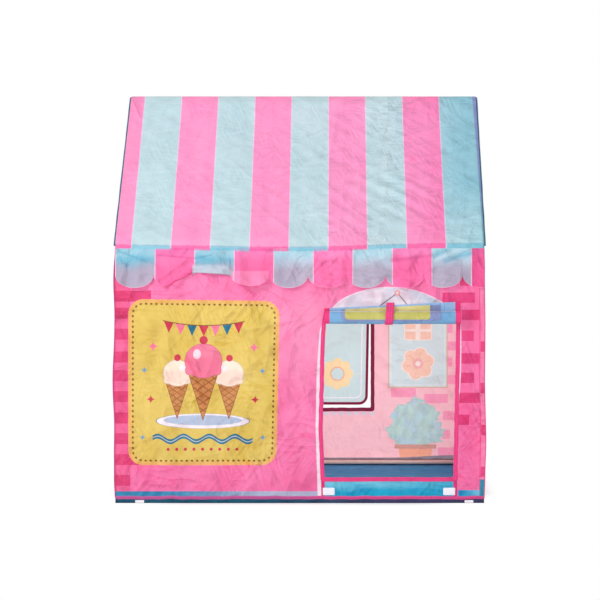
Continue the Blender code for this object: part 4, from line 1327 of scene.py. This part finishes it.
def fold_under(points, columns):
    """Turns one lobe's lower right corner under, round a slanting crease, close behind the cloth above it."""
    x, hang = points[:, 0], gable_seam - points[:, 2]
    span_x, span_h = FOLD_END[0] - FOLD_START[0], FOLD_END[1] - FOLD_START[1]
    length = math.hypot(span_x, span_h)
    out_x, out_h = -span_h / length, span_x / length
    past = (x - FOLD_START[0]) * out_x + (hang - FOLD_START[1]) * out_h
    lobe = np.floor((x + side) / SCALLOP_PITCH + 1e-6)
    near_end = np.clip((-side + (FOLDED_LOBE + 1) * SCALLOP_PITCH - x) / 0.004, 0, 1)
    share = np.where((lobe == FOLDED_LOBE) & (past > 0), past * near_end, 0.0)
    turned = np.clip(share / FOLD_RADIUS, 0, math.pi)
    beyond = np.clip(share - FOLD_RADIUS * math.pi, 0, None)
    moved = FOLD_RADIUS * np.sin(turned) - beyond - share
    sheets = points.reshape(-1, len(columns), 3).copy()
    for i in np.nonzero(share)[0]:
        new_x, new_z = x[i] + moved[i] * out_x, points[i, 2] - moved[i] * out_h
        line = sheets[:, np.argmin(np.abs(columns - new_x))]
        flat = np.interp(new_z, line[::-1, 2], line[::-1, 1])
        points[i] = new_x, flat + FOLD_RADIUS * (1 - math.cos(turned[i])), new_z
    return points


def make_valance(look):
    """The scalloped strip under the front eave, with one lobe tucked under and one flicked up."""
    cusps = [k + t for k in range(10) for t in (-0.03, -0.008, 0.0, 0.008, 0.03) if 0 <= k + t < 9.55]
    us = np.unique(np.concatenate([spaced([-side, side], HEM), [-side + SCALLOP_PITCH * cusp for cusp in cusps]]))
    us = us[np.concatenate([[True], np.diff(us) > 0.0004])]
    rows, wide = VALANCE_ROWS, len(us)
    points, pairs, edges = [], [], []
    for u in us:
        grid_u = np.full(rows + 1, u)
        length, hang, flare, turn = valance_hang(grid_u, np.linspace(0, 1, rows + 1))
        across = (u + side) / SCALLOP_PITCH - TUCKED_LOBE
        crease = 0.0575 + 0.0060 * across if 0 <= across < 1 else VALANCE_CREASE
        ripple = math.radians(5.0) * waves(grid_u, hang, 0.045, 63) * np.clip(hang / 0.03, 0, 1)
        lean = flare + turn * np.clip((hang - crease) / (TUCK_RADIUS * TUCK_TURN), 0, 1)
        lean = lean + ripple * np.where(np.abs(turn) > 1.5, 0.15, 1.0)
        middle = (lean[1:] + lean[:-1]) / 2
        out, down = (np.append(0, np.cumsum(np.diff(hang) * share)) for share in (np.sin(middle), np.cos(middle)))
        pull = sum(tall * packing_fold(grid_u, -hang, *at) for tall, *at, low, high in VALANCE_PULLS if low < u < high)
        y = 0.0004 - half_depth - out - pull * np.clip(hang / 0.012, 0, 1)
        z = gable_seam - 0.0003 - down
        z[0] += 0.0015
        points.append(np.stack([grid_u, np.minimum(y, front - 0.0012), z], axis=1))
        pairs.append(np.stack([grid_u, -hang], axis=1))
        edges.append(length - hang)
    points, pairs = (np.array(lines).transpose(1, 0, 2).reshape(rows * wide + wide, -1) for lines in (points, pairs))
    corners = [j * wide + i for j in range(rows) for i in range(wide - 1)]
    faces = [(corner, corner + wide, corner + wide + 1, corner + 1) for corner in corners]
    valance = mesh_piece("valance_cloth", fold_under(points, us), faces, pairs, look)
    attribute = valance.data.attributes.new("from_edge", "FLOAT", "POINT")
    attribute.data.foreach_set("value", np.array(edges).T.ravel().astype(np.float32))
    fit(valance, None, "valance_cloth", "valance")
    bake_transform(valance)


def make_floor():
    """The floor tray: a sheet with soft creases whose edges turn up to meet the walls."""
    def place(u, v):
        rise = np.clip(np.maximum(np.abs(u) - side, np.abs(v) - deep), 0, lip)
        calm = fade(u, -side, side, 0.05) * fade(v, -deep, deep, 0.05)
        bumps = 0.0016 * (0.5 + crumple(u, v, 71, 0.12)) + 0.0012 * packing_fold(u, v, 0.0, 0.0, 90)
        z = np.maximum(rise, 0.0004 + np.clip(bumps, 0, 0.003) * calm)
        return np.clip(u, -side, side), np.clip(v, -deep, deep), z

    us, vs = (spaced([-half - lip, -half, half, half + lip], COARSE) for half in (side, deep))
    paint = Paint("floor_print", linear(78, 170, 214))
    turned_up = paint.blend(paint.ramp(paint.u, -0.15, 0.25), linear(30, 80, 104), linear(58, 58, 92))
    paint.fill(paint.outside(paint.box(-side, side, -deep, deep)), turned_up)
    look = paint.end_cloth(crumple=1.2, inside=0.0, glow=0.05, size=0.024, roughness=0.7, shine=0.1)
    floor = cloth_sheet("floor_cloth", us, vs, place, look)
    fit(floor, "tent", "floor_cloth", "floor_sheet")


def rectangle_path(left, right, low, high, pitch=TAPE_STEP, bend=0.004):
    """Points about a pitch apart round a rectangle, with small round corners."""
    corners = rounded(left, right, low, high, bend)
    points = []
    for start, end in zip(corners, corners[1:] + corners[:1]):
        count = max(1, round(math.dist(start, end) / pitch))
        points += [tuple(a + (b - a) * i / count for a, b in zip(start, end)) for i in range(count)]
    return points


def tape_profile(reach, thick, fold):
    """Round a folded tape's section, as (out of the hole, off the cloth) pairs."""
    half = thick / 2
    return [
        (-fold, 0.0), (-fold * 0.75, -half * 0.7), (0.0, -half), (reach * 0.5, -half * 1.05), (reach, -half * 0.85),
        (reach + 0.0004, -half * 0.2), (reach + 0.0004, half * 0.2),
        (reach, half * 0.85), (reach * 0.5, half * 1.05), (0.0, half), (-fold * 0.75, half * 0.7),
    ]


def bound_hole(name, hole, y, look, node, seed):
    """Tape folded over the edge of a hole in a wall."""
    left, right, low, high = hole

    def outward(place, low, high):
        """Which way out of a span a place near its ends lies: -1 or 1, and 0 further in."""
        away = place - (low + high) / 2
        return math.copysign(np.clip((abs(away) - (high - low) / 2) / TAPE_STEP + 1, 0, 1), away)

    rails = []
    for out, off in tape_profile(BINDING_REACH, TAPE_THICK + 0.0006, TAPE_FOLD):
        rail = []
        for x, z in rectangle_path(*hole):
            wave = waves(x * 3 + z, z * 3 - x, 0.09, seed)
            lean = jamb_lean(x, z) if hole is doorway else 0.0
            rail.append((
                x + out * outward(x, left, right) + 0.0005 * wave + lean, y + off * (1.05 + 0.10 * wave),
                z + out * outward(z, low, high) + 0.0005 * wave,
            ))
        rails.append(rail)
    fit(skin(name, rails, look, is_ring=True), "tent", "crimson_tape", node)


def make_tapes():
    """Bindings, pipings, patches and ties."""
    teal = tape("teal_piping", TEAL)
    pink = tape("pink_piping", PIPING_PINK, right_colour=linear(214, 58, 130))
    white = tape("white_tape", PAPER_WHITE, stitching=LAVENDER)
    bound_hole("doorway_tape", doorway, front, tape("crimson_tape", CRIMSON), "door_binding", 81)
    bound_hole("window_tape", window, deep, tape("deep_crimson_tape", DEEP_CRIMSON), "window_binding", 83)
    base_piping(pink)
    rake_piping(teal)
    corner_piping(pink)
    patches(hook_tape(), white)
    post_ties(white)


def piping(name, radius, count, line, look, slot, *nodes, is_ring=False):
    """A round band with count sides. line turns a point of its section into a rail."""
    section = arc(0.0, 0.0, radius, 0, 360, count)[:-1]
    fit(skin(name, [line(*point) for point in section], look, is_ring), "tent", slot, *nodes)


def base_piping(look):
    """The soft band over the seam between the floor and the walls."""
    middle, tall = (PIPING_LOW + PIPING_HIGH) / 2, (PIPING_HIGH - PIPING_LOW) / 2

    def line(out, up):
        off = 0.0002 + 0.0013 * out
        rail = []
        for x, y in rectangle_path(-side, side, -deep, deep, 0.015, 0.006):
            push_x, push_y = off * (abs(x) > side - 0.008), off * (abs(y) > deep - 0.008)
            z = middle + tall * up + 0.0007 * waves(x * 2.0 + y, y * 2.0 - x, 0.11, 91)
            rail.append((x + math.copysign(push_x, x), y + math.copysign(push_y, y), z))
        return rail

    piping("base_piping_tape", 1.0, 12, line, look, "crimson_tape", "base_piping", is_ring=True)


def rake_piping(look):
    """Piping along each gable's two sloping edges."""
    for name, sign in SIDES.items():

        def line(out, up, sign=sign):
            return [(
                sign * (side + 0.0022 + out + 0.0003 * waves(v, 0.3, 0.10, 95)), v * math.cos(slope),
                ridge - abs(v) * math.sin(slope) - 0.0030 - 0.0026 * swell(v, 0.0, 0.010) + up,
            ) for v in spaced([-roof_run, 0.0, roof_run], 0.015)]

        piping(f"rake_piping_tape_{name}", RAKE_RADIUS, 10, line, look, "teal_tape", f"rake_piping_{name}")


def corner_piping(look):
    """Seam piping up the four corners of the walls, and the seam under each gable."""
    for end, sign_y in ENDS.items():
        for name, sign_x in SIDES.items():

            def line(out, up, sign_x=sign_x, sign_y=sign_y):
                rail = []
                for z in spaced([PIPING_HIGH - 0.002, gable_seam], 0.015):
                    wave = 0.0004 * waves(z, sign_x + sign_y * 0.5, 0.12, 97)
                    x = sign_x * (side + corner_bulge(z, sign_x > 0)) + out + wave
                    rail.append((x, sign_y * deep + up + wave, z))
                return rail

            piping(f"corner_seam_{end}_{name}", SEAM_RADIUS, 8, line, look, "crimson_tape")
    for name, sign in SIDES.items():

        def line(out, up, sign=sign):
            return [(sign * side + out, y, gable_seam + up) for y in spaced([-deep, deep], 0.02)]

        piping(f"gable_seam_{name}", SEAM_RADIUS, 8, line, look, "crimson_tape")


def patches(hooks, white):
    """The two patches on the sill, and the tabs that peep out under the base piping."""
    for name in SIDES:
        low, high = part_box(f"door_patch_{name}")
        rings = []
        for share, off in ((0.0, 0.0), (0.0, 0.0006), (0.06, 0.0011), (0.35, 0.0014)):
            inset_x, inset_z = ((high[i] - low[i]) / 2 * share for i in (0, 2))
            outline = rounded(low[0] + inset_x, high[0] - inset_x, low[2] + inset_z, high[2] - inset_z, PATCH_CORNER)
            rings.append([(x, front - off, z) for x, z in outline])
        rails = np.array(rings).transpose(1, 0, 2)
        piece = skin(f"door_patch_cloth_{name}", rails, hooks, pairs=rails.reshape(-1, 3)[:, ::2], sharp=180)
        fit(piece, "tent", "white_tape", f"door_patch_{name}")

    for i, (x, sign) in enumerate(((-0.4025, -1), (0.4257, -1), (-0.4257, 1), (0.4025, 1))):
        rails = [
            [(x + across, sign * (deep + 0.0002 + out), 0.0012 + up) for across in spaced([-0.011, 0.011], 0.004)]
            for out, up in ((0.0, 0.0), (0.0012, 0.0), (0.0014, 0.0005), (0.0014, 0.0065), (0.0, 0.0065))
        ]
        fit(skin(f"base_tab_{i}", rails, white), "tent", "white_tape")


def post_ties(look):
    """Tape loops round the posts."""
    for end, name in ((end, name) for end in ENDS for name in SIDES):
        low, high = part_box(f"post_tie_{end}_{name}")
        post_low, post_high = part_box(f"post_{end}_{name}")
        x, y = (post_low[0] + post_high[0]) / 2, (post_low[1] + post_high[1]) / 2
        corner = math.atan2(ENDS[end], SIDES[name])
        loop = arc(
            x, y, (post_high[0] - post_low[0]) / 2 + 0.0006, math.degrees(corner + TIE_MOUTH),
            math.degrees(math.tau - 2 * TIE_MOUTH), 24,
        )
        tip = Vector((x + TIE_REACH * math.cos(corner), y + TIE_REACH * math.sin(corner)))
        beside = Vector((-math.sin(corner), math.cos(corner))) * TIE_GAP
        rails = []
        for z, share, grow in (
            (low[2], -0.008, 0.0), (low[2] + 0.0006, 0.0, 0.0), (high[2] - 0.0006, 0.0, 0.0), (high[2], -0.008, 0.0),
            (high[2] - 0.0006, 0.0, TIE_THICK), (low[2] + 0.0006, 0.0, TIE_THICK),
        ):
            rail = []
            for at_x, at_y in (tip + beside, *loop, tip - beside):
                more = share + grow / math.hypot(at_x - x, at_y - y)
                rail.append((at_x + (at_x - x) * more, at_y + (at_y - y) * more, z))
            rails.append(rail)
        fit(skin(f"post_tie_tape_{end}_{name}", rails, look), "tent", "white_tape", f"post_tie_{end}_{name}")


def make_door():
    """The door: its curtain, folded up above the roll with its print laid out down the open door, the roll and the
    strap.
    """
    left, right = roll_low[0], roll_high[0]
    pitch = (DOOR_SEAM_RIGHT - DOOR_SEAM_LEFT) / (right - left)
    travel = next(joint for joint in frame["joints"] if joint["name"] == "door_unroll")["range_m"][1]
    bend = DOOR_SEAM_LEFT - roll_z
    lines = np.linspace(0, 1, CURTAIN_ROWS)
    # Rows lie where they would spread evenly down the open door
    drop = ease(lines)
    shares = np.concatenate([np.interp(lines, drop, lines), [1.2, 1.45, 1.7, 2.0]])

    def below(u, v):
        """The height at a share of the way through the bend, and past 1 down to behind the roll."""
        seam = DOOR_SEAM_LEFT + pitch * (u - left)
        tail = np.clip(v - 1, 0, 1) * np.clip(seam - bend - roll_z + 0.002, 0.0005, None)
        return seam - bend * np.clip(v, 0, 1) - tail

    def unrolled(v):
        return np.interp(v, lines, drop) * travel

    def place(u, v):
        ripple = 0.0008 * waves(u, 0.12 * unrolled(v), 0.06, 111) * np.clip(v * 6, 0, 1)
        return u, curtain_y - np.abs(ripple), below(u, v)

    def printed(u, v):
        return u, -unrolled(v) - np.clip(v - 1, 0, 1) * 0.02

    us = spaced([left, right], FINE)
    curtain = cloth_sheet("door_curtain_cloth", us, shares[::-1], place, paint_curtain(), printed)
    fit(curtain, None, "door_cloth", "door_curtain")
    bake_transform(curtain)
    make_roll(left, right)
    make_strap()


def spiral(turn):
    """A point of the rolled door in section: down the back, round under and up the front."""
    shrink, angle = 1 - ROLL_SHRINK * turn, math.tau * turn
    half_y, half_z = roll_half - ROLL_LAYER / 2, ROLL_RISE - ROLL_LAYER / 2
    return roll_y + half_y * shrink * math.cos(angle), roll_z - half_z * shrink * math.sin(angle)


def make_roll(left, right):
    """The rolled bundle. Its outermost turn shows the sign, and its ends show the layers."""
    steps = ROLL_STEPS * ROLL_TURNS
    section = [spiral(i / ROLL_STEPS) for i in range(steps + 1)]
    lengths = np.cumsum([0.0] + [math.dist(a, b) for a, b in zip(section, section[1:])])
    xs = spaced([left, left + ROLL_END, right - ROLL_END, right], 0.006)
    waist = 1.0 - 0.06 * swell(xs, 0.228, 0.02)
    sag = 0.0006 * np.sin(math.pi * (xs - left) / (right - left))

    def lay(thickness):
        """One face of the rolled cloth, row by row."""
        rows = []
        for i, ((y, z), along) in enumerate(headings(section)):
            off = 0.0006 * waves(xs, lengths[i] * 1.5, 0.055, 121) * (1.0 - i / steps) - thickness
            at_y, at_z = roll_y + (y - roll_y) * waist, roll_z + (z - roll_z) * waist - sag
            rows.append(np.stack([xs, at_y + along.y * off, at_z - along.x * off], axis=1))
        return rows

    rails = lay(ROLL_LAYER * 0.36) + lay(-ROLL_LAYER * 0.36)[::-1]
    pairs = np.stack(np.meshgrid(xs, np.concatenate([lengths, lengths[::-1]])), axis=-1).reshape(-1, 2)
    roll = skin("door_roll_cloth", rails, paint_roll(), pairs=pairs)
    fit(roll, "door", "door_cloth", "door_roll")
    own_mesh(roll)


def make_strap():
    """The strap: down from the wall, round under the roll and up behind it."""
    low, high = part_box("door_strap")
    middle = (low[0] + high[0]) / 2
    wall_y, back_y = front - 0.0009, front - 0.0022
    line = [
        (wall_y, STRAP_TOP), (wall_y - 0.0006, STRAP_TOP - 0.002),
        *arc(roll_y, roll_z, roll_half + 0.0010, 118, 152, 18, STRAP_TALL),
        *arc(roll_y, roll_z, back_y - roll_y, 270, 88, 10, STRAP_TALL)[1:], (back_y, 0.484),
    ]
    rails = []
    for across, off in (
        (-1.0, 0.0), (-0.96, 0.0007), (-0.5, 0.0009), (0.0, 0.0009), (0.5, 0.0009), (0.96, 0.0007), (1.0, 0.0),
        (0.96, -0.0003), (0.5, -0.0004), (0.0, -0.0004), (-0.5, -0.0004), (-0.96, -0.0003),
    ):
        rail = []
        for i, ((y, z), along) in enumerate(headings(line)):
            sway = 0.0005 * math.sin(i * 0.7) - STRAP_LEAN * (STRAP_TOP - z)
            rail.append((middle + STRAP_WIDTH / 2 * across + sway, y + along.y * off, z - along.x * off))
        rails.append(rail)
    strap = skin("door_strap_tape", rails, tape("strap_tape", CRIMSON))
    fit(strap, "tent", "crimson_tape", "door_strap")
    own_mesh(strap)


def paint_flap(left, right, low, top):
    """Window flap: pale blue with a white line and three flowers."""
    paint = Paint("flap_print", PALE_BLUE)
    paint.fill(paint.rim(paint.box(left + 0.02, right - 0.02, low + 0.02, top - 0.01, 0.015), 0.003), PAPER_WHITE)
    for u, v, size in ((0.086, 0.262, 0.050), (-0.086, 0.262, 0.050), (0.0, 0.380, 0.056)):
        for petal in arc(u, v, size * 0.62, 0, 315, 7):
            paint.fill(paint.disc(*petal, size * 0.30), mixed(linear(250, 214, 104), CREAM, 0.30))
        paint.fill(paint.disc(u, v, size * 0.42), linear(244, 170, 110))
        paint.fill(paint.disc(u, v, size * 0.34), PALE_BLUE)
    return paint.end_cloth(crumple=0.8, inside=0.20)


def make_flap():
    """The window flap, which hangs from the wall above the window, and its tape."""
    (left, _, low), (right, _, top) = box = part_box("flap_binding")
    middle_y, bend = (box[0][1] + box[1][1]) / 2, FLAP_CORNER

    def waver(u, v):
        """How far the hanging flap stands away from the wall."""
        down = np.clip((top - v) / (top - low), 0, 1)
        stand = 0.0030 * down + 0.0022 * down * (1 + waves(u, v * 0.25, 0.16, 131)) + 0.0006 * crumple(u, v, 133)
        return stand * np.clip(down * 5, 0, 1)

    def lean(z):
        """The flap hangs a little askew."""
        return FLAP_LEAN * (z - low) / (top - low)

    def printed(u, v):
        """The flap's lower edge has round corners."""
        past = np.clip(np.maximum(left - u, u - right) + bend, 0, bend)
        return u, top + (low + bend - np.sqrt(bend**2 - past**2) - top) * v

    def place(u, v):
        z = printed(u, v)[1]
        return u + lean(z), middle_y + waver(u, z), z

    us = spaced([left + 0.0012, left + bend, right - bend, right - 0.0012], FINE)
    look = paint_flap(left, right, low, top)
    flap = cloth_sheet("window_flap_cloth", us, np.linspace(1, 0, SHEET_ROWS), place, look, printed, is_flipped=True)
    fit(flap, None, "flap_cloth", "window_flap")

    path = [
        (left, top), *arc(left + bend, low + bend, bend, 180, 90, 8),
        *((x, low) for x in spaced([left + bend, right - bend], TAPE_STEP)[1:]),
        *arc(right - bend, low + bend, bend, 270, 90, 8)[1:],
        *((right, z) for z in spaced([low + bend, top], TAPE_STEP)[1:]),
    ]
    rails = []
    for inset, off in tape_profile(FLAP_TAPE_REACH, TAPE_THICK, 0.0):
        rail = []
        for (x, z), along in headings(path):
            at_z = z + along.x * inset
            rail.append((x - along.y * inset + lean(at_z), middle_y + waver(x, z) + off, at_z))
        rails.append(rail)
    binding = skin("flap_tape", rails, tape("flap_tape", DEEP_CRIMSON))
    fit(binding, None, "crimson_tape", "flap_binding")
    for piece in (flap, binding):
        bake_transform(piece)


def dress_frame():
    """Plastic for the poles and their joints."""
    looks = {
        "pole_plastic": plastic("pole_plastic_look", linear(250, 216, 194), 0.30),
        "joint_plastic": plastic("joint_plastic_look", linear(226, 227, 231), 0.38),
    }
    slots = {entry["node"]: entry["material_slot"] for entry in frame["record"]["subparts"]}
    for name, node in frame["nodes"].items():
        if slots[name] in looks:
            node.data.materials.clear()
            node.data.materials.append(looks[slots[name]])


make_camera()
make_light()
make_roof(paint_roof())
make_walls()
make_valance(paint_valance())
make_floor()
make_tapes()
make_door()
make_flap()
dress_frame()

sizes = {"cad": cad_box, "visual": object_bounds()}
{name: [list(map(float, corner)) for corner in box] for name, box in sizes.items()}
